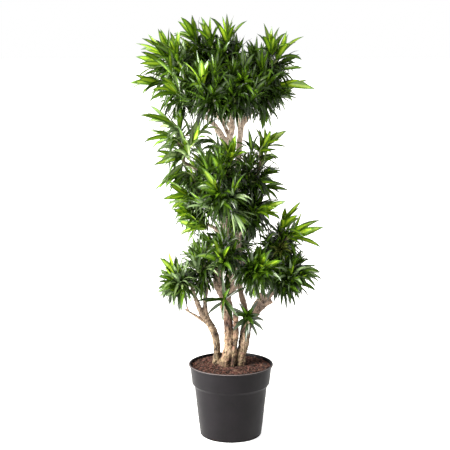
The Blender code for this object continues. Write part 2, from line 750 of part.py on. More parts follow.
def place_leaves(mass, walls, twigs, limbs, chance):
    """Leaves along the end of every twig, with those left out that would touch or leave the space."""
    leaves = []
    solid = []
    wood = [BVHTree.FromPolygons(*tube(twig.path, TWIG_SIDES)) for twig in twigs]
    for twig in twigs:
        tip = Vector(twig.path[-1][:3])
        before = Vector(twig.path[-2][:3])
        leafy = min(LEAFY_LENGTH / (tip - before).length, LEAFY_SHARE)
        side = twig.final.orthogonal().normalized()
        first = chance.uniform(0, math.tau)
        for number in range(LEAVES_PER_SHOOT):
            age = (number + 0.5) / LEAVES_PER_SHOOT
            root = tip.lerp(before, age * leafy)
            for attempt in range(LEAF_TRIES):
                spoke = Matrix.Rotation(first + number * GOLDEN + attempt * LEAF_SPIN, 3, twig.final) @ side
                shorter = SHORTER * (attempt // TRIES_PER_LENGTH)
                (points, faces), way = leaf_at(root, twig.final, spoke, age, shorter)
                if not inside(points[1:], mass, walls, twig.ease):
                    continue
                blade = BVHTree.FromPolygons([root + way * ROOT_SHARED, *points[1:]], faces)
                if blade.overlap(limbs) or any(blade.overlap(other) for other in solid):
                    continue
                blade = BVHTree.FromPolygons([root + way * ROOT_SUNK, *points[1:]], faces)
                if any(blade.overlap(other) for other in wood):
                    continue
                leaves.append((points, faces))
                solid.append(BVHTree.FromPolygons(points, faces))
                break
    return leaves


def make_mass(name, number, paths, limbs, finish):
    """One mass of leaves: a stem, twigs and leaves grown by the rule and joined into one solid."""
    mass = CROWN[name]
    chance = random.Random(SEED + number)
    walls = space_walls(name)
    start, way = stem_start(name, mass, paths)
    stem, twigs = grow_twigs(mass, walls, limbs, start, way, chance)
    body = mesh_object(name, *tube(stem, STEM_SIDES, way), finish)
    if sprouts(mass):
        cutter = mesh_object("cutter", *tube(*paths[mass.host], swell=GAP))
        apply_boolean(body, "DIFFERENCE", tool=cutter)
        remove_object(cutter)
    leaves = place_leaves(mass, walls, twigs, limbs, chance)
    join_pieces(body, [tube(twig.path, TWIG_SIDES) for twig in twigs] + leaves)
    keep_largest_shell(body)


def join_pieces(body, shapes):
    """Joins many small closed shapes to one body with a single union."""
    group = bpy.data.collections.new("joined")
    bpy.context.scene.collection.children.link(group)
    for points, faces in shapes:
        piece = mesh_object("piece", points, faces)
        bpy.context.scene.collection.objects.unlink(piece)
        group.objects.link(piece)
    apply_boolean(body, "UNION", group=group)
    for piece in list(group.objects):
        remove_object(piece)
    bpy.data.collections.remove(group)


def limb_search(paths):
    """One search tree of all limbs, a little swollen, for what must stay clear of them."""
    points = []
    faces = []
    for path, sides in paths.values():
        shell, skin = tube(path, sides, swell=LIMB_MARGIN)
        faces.extend([[index + len(points) for index in face] for face in skin])
        points.extend(shell)
    return BVHTree.FromPolygons(points, faces)


def main():
    """Builds the whole plant."""
    clear_scene()
    make_pot(material("pot plastic", (0.045, 0.042, 0.043), 0.55))
    make_soil(material("soil", (0.095, 0.045, 0.033), 0.95))
    bark = material("bark", (0.42, 0.30, 0.20), 0.85)
    leaf = material("leaf", (0.075, 0.190, 0.030), 0.45)
    paths = limb_paths()
    names = list(paths)
    for number, name in enumerate(names):
        make_limb(name, paths, names[:number], bark)
    limbs = limb_search(paths)
    for number, name in enumerate(CROWN):
        make_mass(name, number, paths, limbs, leaf)


main()
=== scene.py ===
"""Looks of the potted song of jamaica dracaena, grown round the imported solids.

Metres, +Z up, in the frame of the solids. Stems, boughs, twigs and leaves follow the solids' own rule of growth,
carried on to more and finer shoots with leaves of real size.
"""
import math
import random
from collections import namedtuple

import bmesh
import bpy
import numpy as np
from mathutils import Matrix, Vector, noise
from mathutils.bvhtree import BVHTree


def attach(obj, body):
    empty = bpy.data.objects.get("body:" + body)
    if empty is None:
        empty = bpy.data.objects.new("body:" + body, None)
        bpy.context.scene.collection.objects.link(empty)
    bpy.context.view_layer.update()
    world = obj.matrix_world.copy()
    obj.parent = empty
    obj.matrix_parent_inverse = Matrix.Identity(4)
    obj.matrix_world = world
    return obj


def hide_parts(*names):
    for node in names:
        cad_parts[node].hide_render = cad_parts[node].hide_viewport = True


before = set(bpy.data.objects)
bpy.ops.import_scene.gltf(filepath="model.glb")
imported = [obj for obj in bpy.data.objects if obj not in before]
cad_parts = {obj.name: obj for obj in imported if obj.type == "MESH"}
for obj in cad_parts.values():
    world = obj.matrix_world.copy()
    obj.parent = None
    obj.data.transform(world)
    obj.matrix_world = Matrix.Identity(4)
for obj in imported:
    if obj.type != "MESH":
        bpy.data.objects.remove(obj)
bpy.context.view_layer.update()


# The camera stands where the photographer stood
CAMERA_PLACE = (-0.0237, -4.6, 1.618)
CAMERA_PITCH = math.radians(9.4)
CAMERA_LENS = 94.5
SENSOR = 36.0

# Sizes of the pot and the soil, as in the solids
GAP = 0.0003
POT_HEIGHT = 0.293
LIP_RADIUS = 0.170
LIP_HEIGHT = 0.007
COLLAR_TOP_RADIUS = 0.1640
COLLAR_FOOT_RADIUS = 0.1560
COLLAR_FOOT = 0.213
SHOULDER_RADIUS = 0.1465
SHOULDER_FOOT = 0.203
BASE_RADIUS = 0.1240
BASE_ROUND = 0.006
WALL = 0.003
FLOOR = 0.005
NOTCH_COUNT = 4
NOTCH_TURN = math.radians(-123)
NOTCH_WIDTH = 0.032
NOTCH_HEIGHT = 0.006
NOTCH_LOW = 0.003
NOTCH_DEPTH = 0.018
SOIL_TOP = 0.284
SOIL_DISH = 0.002
SOIL_FLAT = 0.125
SPLINE_STEPS = 12

# Stems and limbs: each has knots of x, y, z and radius from foot to tip, and numbers of sides and rings
FOOT = SOIL_TOP + GAP
Limb = namedtuple("Limb", "knots sides rings")
LIMBS = {
    "centre_stem": Limb((
        (-0.026, -0.008, FOOT, 0.0310), (-0.007, -0.010, 0.345, 0.0225), (-0.004, -0.010, 0.400, 0.0210),
        (-0.012, -0.006, 0.470, 0.0195), (-0.023, 0.000, 0.560, 0.0235), (-0.056, 0.008, 0.645, 0.0175),
        (-0.030, 0.020, 0.780, 0.0175), (-0.022, 0.018, 0.950, 0.0155), (-0.011, 0.000, 1.160, 0.0130),
        (0.004, -0.002, 1.260, 0.0110), (-0.022, 0.000, 1.390, 0.0090)), 10, 20),
    "left_stem": Limb((
        (-0.059, 0.022, FOOT, 0.0150), (-0.057, 0.010, 0.342, 0.0145), (-0.060, -0.006, 0.400, 0.0145),
        (-0.079, -0.016, 0.450, 0.0158), (-0.099, -0.022, 0.480, 0.0140)), 9, 7),
    "left_upright": Limb((
        (-0.090, -0.022, 0.474, 0.0110), (-0.101, -0.022, 0.505, 0.0105), (-0.103, -0.020, 0.550, 0.0095),
        (-0.098, -0.018, 0.605, 0.0080)), 7, 5),
    "left_bough": Limb((
        (-0.098, -0.022, 0.482, 0.0130), (-0.116, -0.026, 0.506, 0.0125), (-0.137, -0.030, 0.556, 0.0100),
        (-0.152, -0.032, 0.598, 0.0080)), 7, 5),
    "left_twig": Limb((
        (-0.097, -0.026, 0.466, 0.0068), (-0.143, -0.034, 0.499, 0.0050), (-0.182, -0.042, 0.525, 0.0034)),
        5, 4),
    "right_stem": Limb((
        (0.037, -0.002, FOOT, 0.0200), (0.0435, -0.002, 0.342, 0.0205), (0.052, 0.000, 0.388, 0.0215),
        (0.064, 0.000, 0.440, 0.0200), (0.078, 0.000, 0.484, 0.0200)), 10, 8),
    "right_bough": Limb((
        (0.074, 0.000, 0.474, 0.0190), (0.090, 0.000, 0.500, 0.0215), (0.108, 0.000, 0.524, 0.0235),
        (0.150, -0.002, 0.563, 0.0250)), 9, 5),
    "cut_cane": Limb((
        (0.007, -0.022, FOOT, 0.0110), (0.0165, -0.020, 0.384, 0.0120), (0.0195, -0.018, 0.424, 0.0130),
        (0.019, -0.020, 0.508, 0.0120)), 8, 7),
    "centre_knuckle": Limb((
        (-0.018, -0.004, 0.578, 0.0140), (0.010, -0.012, 0.608, 0.0160), (0.020, -0.017, 0.662, 0.0160)),
        8, 5),
    "rear_stem": Limb((
        (0.040, 0.014, 0.375, 0.0110), (0.055, 0.034, 0.440, 0.0120), (0.058, 0.046, 0.500, 0.0115),
        (0.034, 0.052, 0.610, 0.0110), (0.030, 0.052, 0.800, 0.0110), (0.026, 0.044, 1.000, 0.0110),
        (0.034, 0.030, 1.180, 0.0115), (0.058, 0.096, 1.340, 0.0090)), 8, 15),
}

# Short sawn-off prongs: their start, end and radius
STUBS = {
    "right_bough": ((0.124, -0.002, 0.545), (0.116, -0.006, 0.586), 0.0070),
    "centre_knuckle": ((0.010, -0.013, 0.618), (-0.012, -0.020, 0.662), 0.0070),
}
STUB_TAPER = 0.85

# Crown: every mass has a centre, half sizes, a count of shoots, the limb it grows from, the height where
# its bough leaves that limb, the bough's radius there, and the end and direction of each leading shoot.
# Without a height it grows from that limb's tip, and without a radius straight from that limb's side
Mass = namedtuple("Mass", "centre size shoots host height radius leads")
CROWN = {
    "top_left": Mass(
        (-0.185, -0.020, 1.420), (0.115, 0.170, 0.140), 9, "centre_stem", 1.170, 0.0115,
        (
            ((-0.204, -0.110, 1.512), (-0.20, -0.35, 0.92)),
            ((-0.243, -0.020, 1.510), (-0.76, -0.15, 0.60)),
            ((-0.280, -0.050, 1.419), (-0.97, -0.15, 0.16)),
            ((-0.207, -0.160, 1.383), (-0.40, -0.75, 0.52)),
            ((-0.249, 0.030, 1.458), (-0.90, -0.05, 0.34)),
            ((-0.181, -0.050, 1.324), (-0.20, -0.30, 0.40)),
        )),
    "top_front": Mass(
        (-0.085, -0.160, 1.390), (0.125, 0.140, 0.145), 5, "centre_stem", 1.235, 0.0085,
        (
            ((-0.105, -0.210, 1.412), (-0.05, -0.30, 0.95)),
        )),
    "top_centre": Mass(
        (-0.070, -0.010, 1.485), (0.145, 0.140, 0.120), 7, "centre_stem", None, None,
        (
            ((-0.131, -0.030, 1.574), (-0.50, -0.15, 0.85)),
            ((-0.073, -0.080, 1.563), (-0.32, -0.20, 0.93)),
            ((-0.016, -0.070, 1.563), (0.00, -0.20, 0.98)),
            ((0.022, -0.050, 1.518), (0.10, -0.15, 0.97)),
        )),
    "top_right": Mass(
        (0.130, -0.010, 1.415), (0.110, 0.170, 0.155), 9, "rear_stem", 1.240, 0.0095,
        (
            ((0.151, -0.060, 1.526), (-0.02, -0.25, 0.97)),
            ((0.178, -0.060, 1.514), (0.34, -0.25, 0.90)),
            ((0.191, -0.050, 1.408), (0.97, -0.15, 0.15)),
            ((0.191, -0.020, 1.494), (0.90, -0.15, 0.38)),
            ((0.095, -0.050, 1.495), (-0.35, -0.20, 0.90)),
        )),
    "top_right_front": Mass(
        (0.025, -0.165, 1.385), (0.115, 0.140, 0.140), 5, "rear_stem", 1.190, 0.0080,
        (
            ((0.039, -0.230, 1.424), (-0.15, -0.92, 0.36)),
        )),
    "top_back_left": Mass(
        (-0.095, 0.160, 1.395), (0.165, 0.150, 0.150), 6, "centre_stem", 1.200, 0.0085, ()),
    "top_back_right": Mass(
        (0.095, 0.170, 1.385), (0.145, 0.150, 0.145), 5, "rear_stem", None, None, ()),
    "mid_left": Mass(
        (-0.195, -0.040, 1.190), (0.100, 0.150, 0.125), 6, "centre_stem", 0.960, 0.0095,
        (
            ((-0.235, -0.060, 1.271), (-0.86, -0.20, 0.36)),
            ((-0.241, -0.100, 1.217), (-0.90, -0.20, 0.30)),
            ((-0.141, -0.140, 1.194), (0.30, -0.25, 0.92)),
        )),
    "mid_left_low": Mass(
        (-0.130, -0.060, 0.955), (0.090, 0.145, 0.140), 6, "centre_stem", 0.800, 0.0080,
        (
            ((-0.104, -0.130, 0.862), (-0.88, -0.35, 0.30)),
            ((-0.158, -0.120, 0.989), (-0.85, -0.45, 0.25)),
            ((-0.181, -0.100, 1.075), (-0.70, -0.45, -0.15)),
        )),
    "mid_front": Mass(
        (-0.040, -0.165, 1.020), (0.120, 0.140, 0.180), 6, "centre_stem", 0.900, 0.0080,
        (
            ((-0.001, -0.200, 1.140), (-0.05, -0.55, 0.83)),
            ((-0.046, -0.230, 1.012), (-0.45, -0.45, 0.77)),
            ((-0.092, -0.120, 1.219), (-0.80, -0.25, 0.45)),
        )),
    "mid_right": Mass(
        (0.080, -0.010, 1.050), (0.095, 0.165, 0.115), 6, "rear_stem", 0.960, 0.0085,
        (
            ((0.134, -0.070, 1.164), (0.00, -0.20, 0.97)),
            ((0.126, -0.080, 1.181), (0.72, -0.20, 0.64)),
            ((0.099, -0.090, 1.039), (0.92, -0.35, 0.10)),
        )),
    "mid_right_low": Mass(
        (0.075, -0.050, 0.910), (0.095, 0.150, 0.125), 5, "rear_stem", 0.800, 0.0075,
        (
            ((0.103, -0.120, 0.931), (0.86, -0.35, 0.38)),
        )),
    "mid_back": Mass(
        (-0.050, 0.155, 1.015), (0.155, 0.150, 0.150), 6, "centre_stem", 0.870, 0.0090, ()),
    "low_left": Mass(
        (-0.205, -0.050, 0.635), (0.068, 0.130, 0.085), 5, "left_bough", None, None,
        (
            ((-0.211, -0.080, 0.660), (-0.42, -0.25, 0.87)),
            ((-0.207, -0.090, 0.630), (-0.85, -0.35, 0.10)),
            ((-0.183, -0.120, 0.633), (-0.10, -0.75, -0.20)),
        )),
    "low_left_inner": Mass(
        (-0.115, 0.010, 0.680), (0.085, 0.140, 0.125), 5, "left_upright", None, None, ()),
    "low_front": Mass(
        (-0.020, -0.135, 0.775), (0.090, 0.110, 0.095), 3, "centre_stem", 0.690, 0.0070,
        (
            ((-0.035, -0.170, 0.737), (-0.15, -0.60, 0.78)),
        )),
    "low_right": Mass(
        (0.215, -0.020, 0.660), (0.105, 0.155, 0.105), 6, "right_bough", 0.560, 0.0090,
        (
            ((0.266, -0.060, 0.680), (0.96, -0.25, 0.08)),
        )),
    "low_right_top": Mass(
        (0.195, -0.010, 0.770), (0.105, 0.160, 0.095), 5, "rear_stem", 0.690, 0.0065,
        (
            ((0.195, -0.050, 0.857), (0.50, -0.20, 0.84)),
            ((0.245, -0.060, 0.823), (0.88, -0.20, 0.38)),
        )),
    "low_right_front": Mass(
        (0.095, -0.125, 0.695), (0.090, 0.120, 0.105), 4, "centre_knuckle", None, None,
        (
            ((0.114, -0.170, 0.702), (0.10, -0.70, 0.70)),
        )),
    "low_back": Mass(
        (0.000, 0.155, 0.725), (0.155, 0.145, 0.130), 6, "rear_stem", 0.600, 0.0080, ()),
    "centre_sprig": Mass(
        (-0.030, -0.090, 0.575), (0.110, 0.090, 0.090), 1, "centre_stem", 0.550, None,
        (
            ((-0.028, -0.078, 0.578), (-0.07, -0.94, 0.34)),
        )),
    "right_sprig": Mass(
        (0.068, -0.090, 0.500), (0.110, 0.090, 0.110), 1, "right_stem", 0.470, None,
        (
            ((0.064, -0.078, 0.508), (-0.11, -0.89, 0.43)),
        )),
}

# The solids' rule of growth
FINE = 200
BOUGH_RINGS = 5
BOUGH_AIM = 0.45
BOUGH_SHARE = 0.78
BOUGH_BEND = 0.45
BOUGH_RISE = 0.62
BOUGH_TAPER = (1.0, 0.9, 0.72)
STEM_RADIUS = (0.0070, 0.0050)
STEM_RINGS = 4
STEM_STRAIGHT = 0.4
CORE_DROP = 0.15
GOLDEN = math.pi * (3 - math.sqrt(5))
SEED = 11
WALL_MARGIN = 0.0015
SHOOT_PLACES = 120
SHOOT_RISE = (0.95, -0.80)
SHOOT_DEPTH = (0.4, 1.15)
SHOOT_INSET = 0.070
SHOOT_LEAST = 0.2
SHOOT_CLEAR = 0.018
SHOOT_ROOT = 0.3
SHOOT_LIFT = (0.15, 1.15)
SHOOT_STRAY = 0.45
LEAD_EASE = 8.0
PLAIN_EASE = 1.9
TWIG_RADIUS = (0.0042, 0.0030)
TWIG_SUNK = 0.002
TWIG_LEAST = 0.03
TWIG_TURN = 1.6
TWIG_START = 0.35
TWIG_ARRIVE = 0.45

# How the looks carry the rule on: more shoots on thinner twigs, with many real leaves on each
MORE_SHOOTS = 2.9
# Masses that the light shines through, as a share of that
AIRY = {
    "mid_left": 0.36, "low_left": 0.75, "low_left_inner": 0.75, "low_front": 0.50, "top_right": 0.64, "mid_right": 0.72,
    "mid_right_low": 0.75, "mid_back": 0.80, "low_back": 0.75,
}
THIN_TWIG = 0.72
TWIG_RINGS = 9
TWIG_SIDES = 7
GREEN_WOOD = 0.55
WOOD_RINGS = 12
LEAF_LEAN = (math.radians(7), math.radians(94))
LEAF_TURN_SPREAD = 0.35
LEAF_LEAN_SPREAD = 0.16
LEAF_YOUNG = 0.70
LEAF_GROWN_AT = 0.10
LEAF_OLD_AT = (0.16, 0.50)
TONE_SPREAD = 0.35
LEAF_SPREAD = 0.18
VIGOUR = (0.88, 1.12)
LEAD_VIGOUR = (0.92, 1.02)
LEAF_CURL = (0.05, 0.45)
LEAF_DROOP = (0.04, 3.20)
LEAF_TWIST = 1.10
LEAF_BASE = 0.34
STRIPE_SHARE = 0.46
WALL_EASE = 0.035
LEAF_SAG = 0.32
LIMB_CLEAR = 0.002
SHORTENINGS = (1.0, 0.86, 0.72)
DOWN = Vector((0, 0, -1))
LEAF_GLOSS = 0.60
POT_GLOSS = 0.11

Shoot = namedtuple("Shoot", "path final ease kind turn")
# A kind of shoot: how far its leaves reach down the twig, their count, how they crowd at its tip, how wide the
# oldest spread (1 is square to the twig), how late the others do, how limp they are, the length and width of young
# and of old leaves, and up to which age they have each tone
Kind = namedtuple("Kind", "leafy count crowding spread late limp young old tones")
KINDS = {
    "fresh": Kind(0.230, 42, 1.7, 1.0, 1.15, 1.0, (0.124, 0.0290), (0.098, 0.0150),
                  (("lime", 0.18), ("bright", 0.29), ("mid", 0.46), ("deep", 0.75), ("dark", 1.01))),
    "plain": Kind(0.200, 54, 1.3, 1.0, 1.20, 1.0, (0.106, 0.0190), (0.098, 0.0138),
                  (("bright", 0.05), ("mid", 0.32), ("deep", 0.70), ("dark", 1.01))),
    "dark": Kind(0.200, 62, 1.3, 1.0, 1.20, 1.0, (0.094, 0.0145), (0.095, 0.0115),
                 (("mid", 0.18), ("deep", 0.60), ("dark", 1.01))),
    "pale": Kind(0.200, 50, 1.4, 1.0, 1.20, 0.8, (0.106, 0.0180), (0.096, 0.0122),
                 (("lime", 0.05), ("bright", 0.12), ("painted_sheen", 0.46), ("pale", 0.66), ("mid", 0.88), ("deep", 1.01))),
    "small": Kind(0.170, 62, 1.2, 1.0, 1.10, 1.0, (0.074, 0.0120), (0.064, 0.0095),
                  (("olive", 0.32), ("deep", 0.56), ("dark", 1.01))),
    "fan": Kind(0.120, 15, 1.5, 0.62, 1.0, 0.5, (0.128, 0.0300), (0.104, 0.0180),
                (("lime", 0.36), ("bright", 0.66), ("mid", 0.85), ("deep", 1.01))),
    "open": Kind(0.210, 22, 1.3, 0.58, 0.90, 0.8, (0.128, 0.0245), (0.108, 0.0180),
                 (("lime", 0.16), ("bright", 0.36), ("pale", 0.62), ("painted_sheen", 0.80), ("mid", 1.01))),
    "loose": Kind(0.190, 24, 1.2, 0.85, 1.0, 0.9, (0.106, 0.0180), (0.100, 0.0135),
                  (("bright", 0.06), ("mid", 0.36), ("deep", 0.72), ("dark", 1.01))),
    "sprig": Kind(0.032, 19, 1.3, 1.0, 0.80, 0.5, (0.070, 0.0165), (0.082, 0.0155),
                  (("mid", 0.10), ("deep", 0.45), ("dark", 1.01))),
    "long_sprig": Kind(0.032, 13, 1.3, 1.0, 0.60, 0.2, (0.100, 0.0160), (0.112, 0.0155),
                  (("mid", 0.15), ("deep", 0.60), ("dark", 1.01))),
}
# How many of the other shoots are of each kind, by how much light falls on a mass: the paler tones dealt to lit masses
# are painted light and sheen, the darker tones dealt to shaded masses painted shade
MIXED_KINDS = ("fresh", "plain", "dark", "pale", "small", "open")
KIND_SHARES = {
    "shade": (0.00, 0.20, 0.15, 0.05, 0.60, 0.00),
    "dim": (0.05, 0.45, 0.50, 0.00, 0.00, 0.00),
    "even": (0.08, 0.38, 0.37, 0.17, 0.00, 0.00),
    "sunny": (0.08, 0.12, 0.08, 0.58, 0.00, 0.14),
    "bare": (0.00, 0.00, 0.00, 0.00, 0.00, 1.00),
}
# Which masses are painted as lit and which as shaded
LIGHT = {
    "top_front": "dim", "top_centre": "dim", "top_right_front": "dim", "low_right_front": "dim",
    "mid_right": "shade", "low_right_top": "shade",
    "top_left": "sunny", "mid_left_low": "sunny", "low_left": "sunny", "low_left_inner": "sunny", "mid_left": "bare",
}
SPRIG_KINDS = {"centre_sprig": "long_sprig", "right_sprig": "sprig"}
# How far the leaves of a sprig are turned about its twig
SPRIG_TURNS = {"centre_sprig": -0.30, "right_sprig": 0.0}
# Kinds of the leading shoots that aren't fresh, by mass and place in its list
LEAD_KINDS = {
    "top_left": {4: "plain", 5: "plain"}, "top_centre": {3: "plain"}, "top_right": {2: "fan", 3: "loose", 4: "plain"},
    "top_right_front": {0: "plain"}, "mid_left": {0: "open", 1: "open", 2: "open"}, "mid_left_low": {0: "fan", 1: "fan", 2: "plain"},
    "mid_front": {2: "plain"}, "mid_right": {0: "fan", 1: "fan", 2: "loose"},
    "low_left": {0: "fan", 1: "loose", 2: "loose"}, "low_right": {0: "plain"}, "low_right_top": {0: "fan", 1: "fan"},
}
# Further shoots of some masses, each with its end, its direction and its kind
MORE_LEADS = {
    "top_left": (((-0.202, -0.070, 1.338), (-0.10, -0.30, -0.90), "plain"),
                 ((-0.240, -0.020, 1.522), (-0.35, -0.20, 0.92), "fan"),
                 ((-0.258, -0.030, 1.487), (-0.97, -0.15, 0.22), "fan")),
    "top_right": (((0.122, -0.060, 1.340), (0.05, -0.30, -0.95), "plain"),
                  ((0.178, -0.040, 1.468), (0.97, -0.20, 0.05), "loose")),
    "mid_left": (((-0.190, -0.060, 1.126), (-0.95, -0.20, 0.10), "open"),
                 ((-0.200, -0.090, 1.090), (-0.60, -0.30, -0.60), "open"),
                 ((-0.160, -0.100, 1.135), (-0.25, -0.30, 0.92), "open"),
                 ((-0.197, -0.060, 1.236), (-0.10, -0.20, 0.95), "open"),
                 ((-0.108, -0.090, 1.239), (0.35, -0.20, 0.85), "open")),
    "mid_right": (((0.130, -0.040, 1.013), (0.95, -0.20, -0.05), "loose"),
                  ((0.080, -0.080, 1.158), (-0.25, -0.20, 0.95), "loose")),
    "low_left_inner": (((-0.119, -0.030, 0.637), (0.10, -0.30, -0.90), "loose"),),
    "low_back": (((-0.012, 0.100, 0.650), (0.00, -0.30, -0.95), "plain"),),
    "low_right_top": (((0.203, -0.050, 0.861), (0.20, -0.20, 0.95), "fan"),
                      ((0.235, -0.060, 0.832), (0.60, -0.20, 0.75), "fan")),
    "low_right_front": (((0.090, -0.120, 0.657), (0.05, -0.10, -0.95), "loose"),),
}


def sun(red, green, blue):
    """A colour given as on a screen, as linear values."""
    return tuple(((value / 255 + 0.055) / 1.055) ** 2.4 for value in (red, green, blue))


# Leaf colours by tone: the stripe along the middle and the margins. The grey-green tone is painted sheen, and the pale
# tone is the leaves' paler green with painted sheen
LEAF_TONES = {
    "lime": (sun(136, 164, 34), sun(78, 112, 18)),
    "bright": (sun(104, 136, 22), sun(58, 90, 12)),
    "pale": (sun(142, 162, 104), sun(100, 124, 70)),
    "painted_sheen": (sun(140, 161, 114), sun(105, 129, 84)),
    "mid": (sun(76, 105, 18), sun(50, 77, 12)),
    "olive": (sun(80, 90, 34), sun(56, 64, 22)),
    "deep": (sun(48, 71, 9), sun(39, 61, 7)),
    "dark": (sun(30, 49, 5), sun(26, 43, 4)),
}
TONES = list(LEAF_TONES)

# Two blades: how many rows of points each has, where across the leaf its points lie, and how far it is folded
# at its base and at its tip
Blade = namedtuple("Blade", "rows across fold")
BLADES = {
    "striped": Blade(6, (-1.0, -STRIPE_SHARE, 0.0, STRIPE_SHARE, 1.0), (math.radians(24), math.radians(9))),
    "narrow": Blade(5, (-1.0, 0.0, 1.0), (math.radians(28), math.radians(10))),
}
BLADE_OF_TONE = {"lime": "striped", "bright": "striped", "pale": "striped", "painted_sheen": "striped", "mid": "striped",
                 "olive": "striped", "deep": "narrow", "dark": "narrow"}


def spline(knots, count):
    """Points evenly spaced along a smooth curve through the knots, each with all the knots' values."""
    ends = np.array([knots[0], *knots, knots[-1]], dtype=float)
    ends[0] = 2 * ends[1] - ends[2]
    ends[-1] = 2 * ends[-2] - ends[-3]
    fine = []
    for first in range(len(knots) - 1):
        a, b, c, d = ends[first:first + 4]
        for step in range(SPLINE_STEPS + (first == len(knots) - 2)):
            t = step / SPLINE_STEPS
            curve = 2 * b + (c - a) * t + (2 * a - 5 * b + 4 * c - d) * t ** 2
            fine.append(0.5 * (curve + (3 * b - a - 3 * c + d) * t ** 3))
    fine = np.array(fine)
    along = np.concatenate(([0.0], np.cumsum(np.linalg.norm(np.diff(fine[:, :3], axis=0), axis=1))))
    places = np.linspace(0.0, along[-1], count)
    return np.column_stack([np.interp(places, along, fine[:, axis]) for axis in range(fine.shape[1])])


def point_on(path, height):
    """The place on a limb's path at a height."""
    return Vector(path[int(np.argmin(np.abs(path[:, 2] - height)))][:3])


def heading(path, place):
    """The direction of a path as it reaches one of its places."""
    return Vector(path[place][:3] - path[place - 1][:3]).normalized()


def bough_path(mass):
    """A bough that leaves its host at a height, rises and bends out towards the foot of its mass."""
    host = spline(LIMBS[mass.host].knots, FINE)
    start = point_on(host, mass.height)
    aim = Vector(mass.centre) - Vector((0, 0, BOUGH_AIM * mass.size[2]))
    end = start.lerp(aim, BOUGH_SHARE)
    bend = start.lerp(end, BOUGH_BEND)
    bend.z = start.z + BOUGH_RISE * (end.z - start.z)
    knots = [(*point, taper * mass.radius) for point, taper in zip((start, bend, end), BOUGH_TAPER)]
    return spline(knots, BOUGH_RINGS)


def mean_size(mass):
    """A mass's mean half size."""
    return sum(mass.size) / 3


def space_walls(name):
    """Flat walls between a mass and its neighbours, as normals and reaches."""
    mass = CROWN[name]
    centre = Vector(mass.centre)
    size = mean_size(mass)
    walls = []
    for other, neighbour in CROWN.items():
        if other == name:
            continue
        away = Vector(neighbour.centre) - centre
        apart = away.length
        share = 0.5 * (apart ** 2 + size ** 2 - mean_size(neighbour) ** 2) / apart
        away.normalize()
        walls.append((away, away.dot(centre) + share - WALL_MARGIN))
    return walls


def fork_cost(place, end):
    """How unfit a place of the wood is for a twig to an end: far off, or a sharp turn."""
    away = end - place[0]
    return away.length * (TWIG_TURN - place[1].dot(away.normalized()))


def sprouts(mass):
    """Whether a mass grows straight from its host's side, with no bough of its own."""
    return mass.height is not None and mass.radius is None


def link(name, mesh):
    """An object for a mesh, linked to the scene."""
    made = bpy.data.objects.new(name, mesh)
    bpy.context.scene.collection.objects.link(made)
    return made


def tube_arrays(path, sides):
    """Points and four-cornered faces of a tube with domed ends along a path of x, y, z and radius."""
    centres = [Vector(row[:3]) for row in path]
    points = []
    across = None
    for place, centre in enumerate(centres):
        ahead = (centres[min(place + 1, len(centres) - 1)] - centres[max(place - 1, 0)]).normalized()
        if across is None:
            across = ahead.orthogonal().normalized()
        across = (across - ahead * across.dot(ahead)).normalized()
        other = ahead.cross(across)
        for side in range(sides):
            turn = math.tau * side / sides
            points.append(centre + (across * math.cos(turn) + other * math.sin(turn)) * path[place][3])
    faces = []
    for ring in range(len(centres) - 1):
        for side in range(sides):
            after = (side + 1) % sides
            low = ring * sides
            faces.append((low + side, low + after, low + sides + after, low + sides + side))
    first = len(points)
    points.append(centres[0])
    points.append(centres[-1])
    last = (len(centres) - 1) * sides
    for side in range(sides):
        after = (side + 1) % sides
        faces.append((first, side, after, first))
        faces.append((last + after, last + side, first + 1, last + after))
    return points, faces


def tidy_faces(faces):
    """Four-cornered faces whose last corner repeats the first or the second are made three-cornered."""
    clean = []
    for face in faces:
        corners = []
        for corner in face:
            if corner not in corners:
                corners.append(corner)
        clean.append(tuple(corners))
    return clean


def plain_mesh(name, points, faces):
    """A mesh from plain lists of points and faces."""
    mesh = bpy.data.meshes.new(name)
    mesh.from_pydata([tuple(point) for point in points], [], tidy_faces(faces))
    mesh.update()
    return mesh


def join_shapes(shapes):
    """Many lists of points and faces as one."""
    points = []
    faces = []
    for some_points, some_faces in shapes:
        faces.extend([tuple(corner + len(points) for corner in face) for face in some_faces])
        points.extend(some_points)
    return points, faces


def limb_splines():
    """The fine path of every limb and bough."""
    paths = {name: spline(limb.knots, max(WOOD_RINGS, limb.rings * 3)) for name, limb in LIMBS.items()}
    for name, mass in CROWN.items():
        if mass.radius:
            paths[name + "_bough"] = spline(bough_path(mass), WOOD_RINGS)
    return paths


def mass_start(name, mass):
    """Where a mass's stem starts and which way it points, as in the solids."""
    if sprouts(mass):
        start = point_on(spline(LIMBS[mass.host].knots, FINE), mass.height)
        return start, (Vector(mass.centre) - start).normalized()
    if mass.height is None:
        host = LIMBS[mass.host]
        path = spline(host.knots, host.rings)
    else:
        path = bough_path(mass)
    way = heading(path, -1)
    return Vector(path[-1][:3]) + way * GAP, way


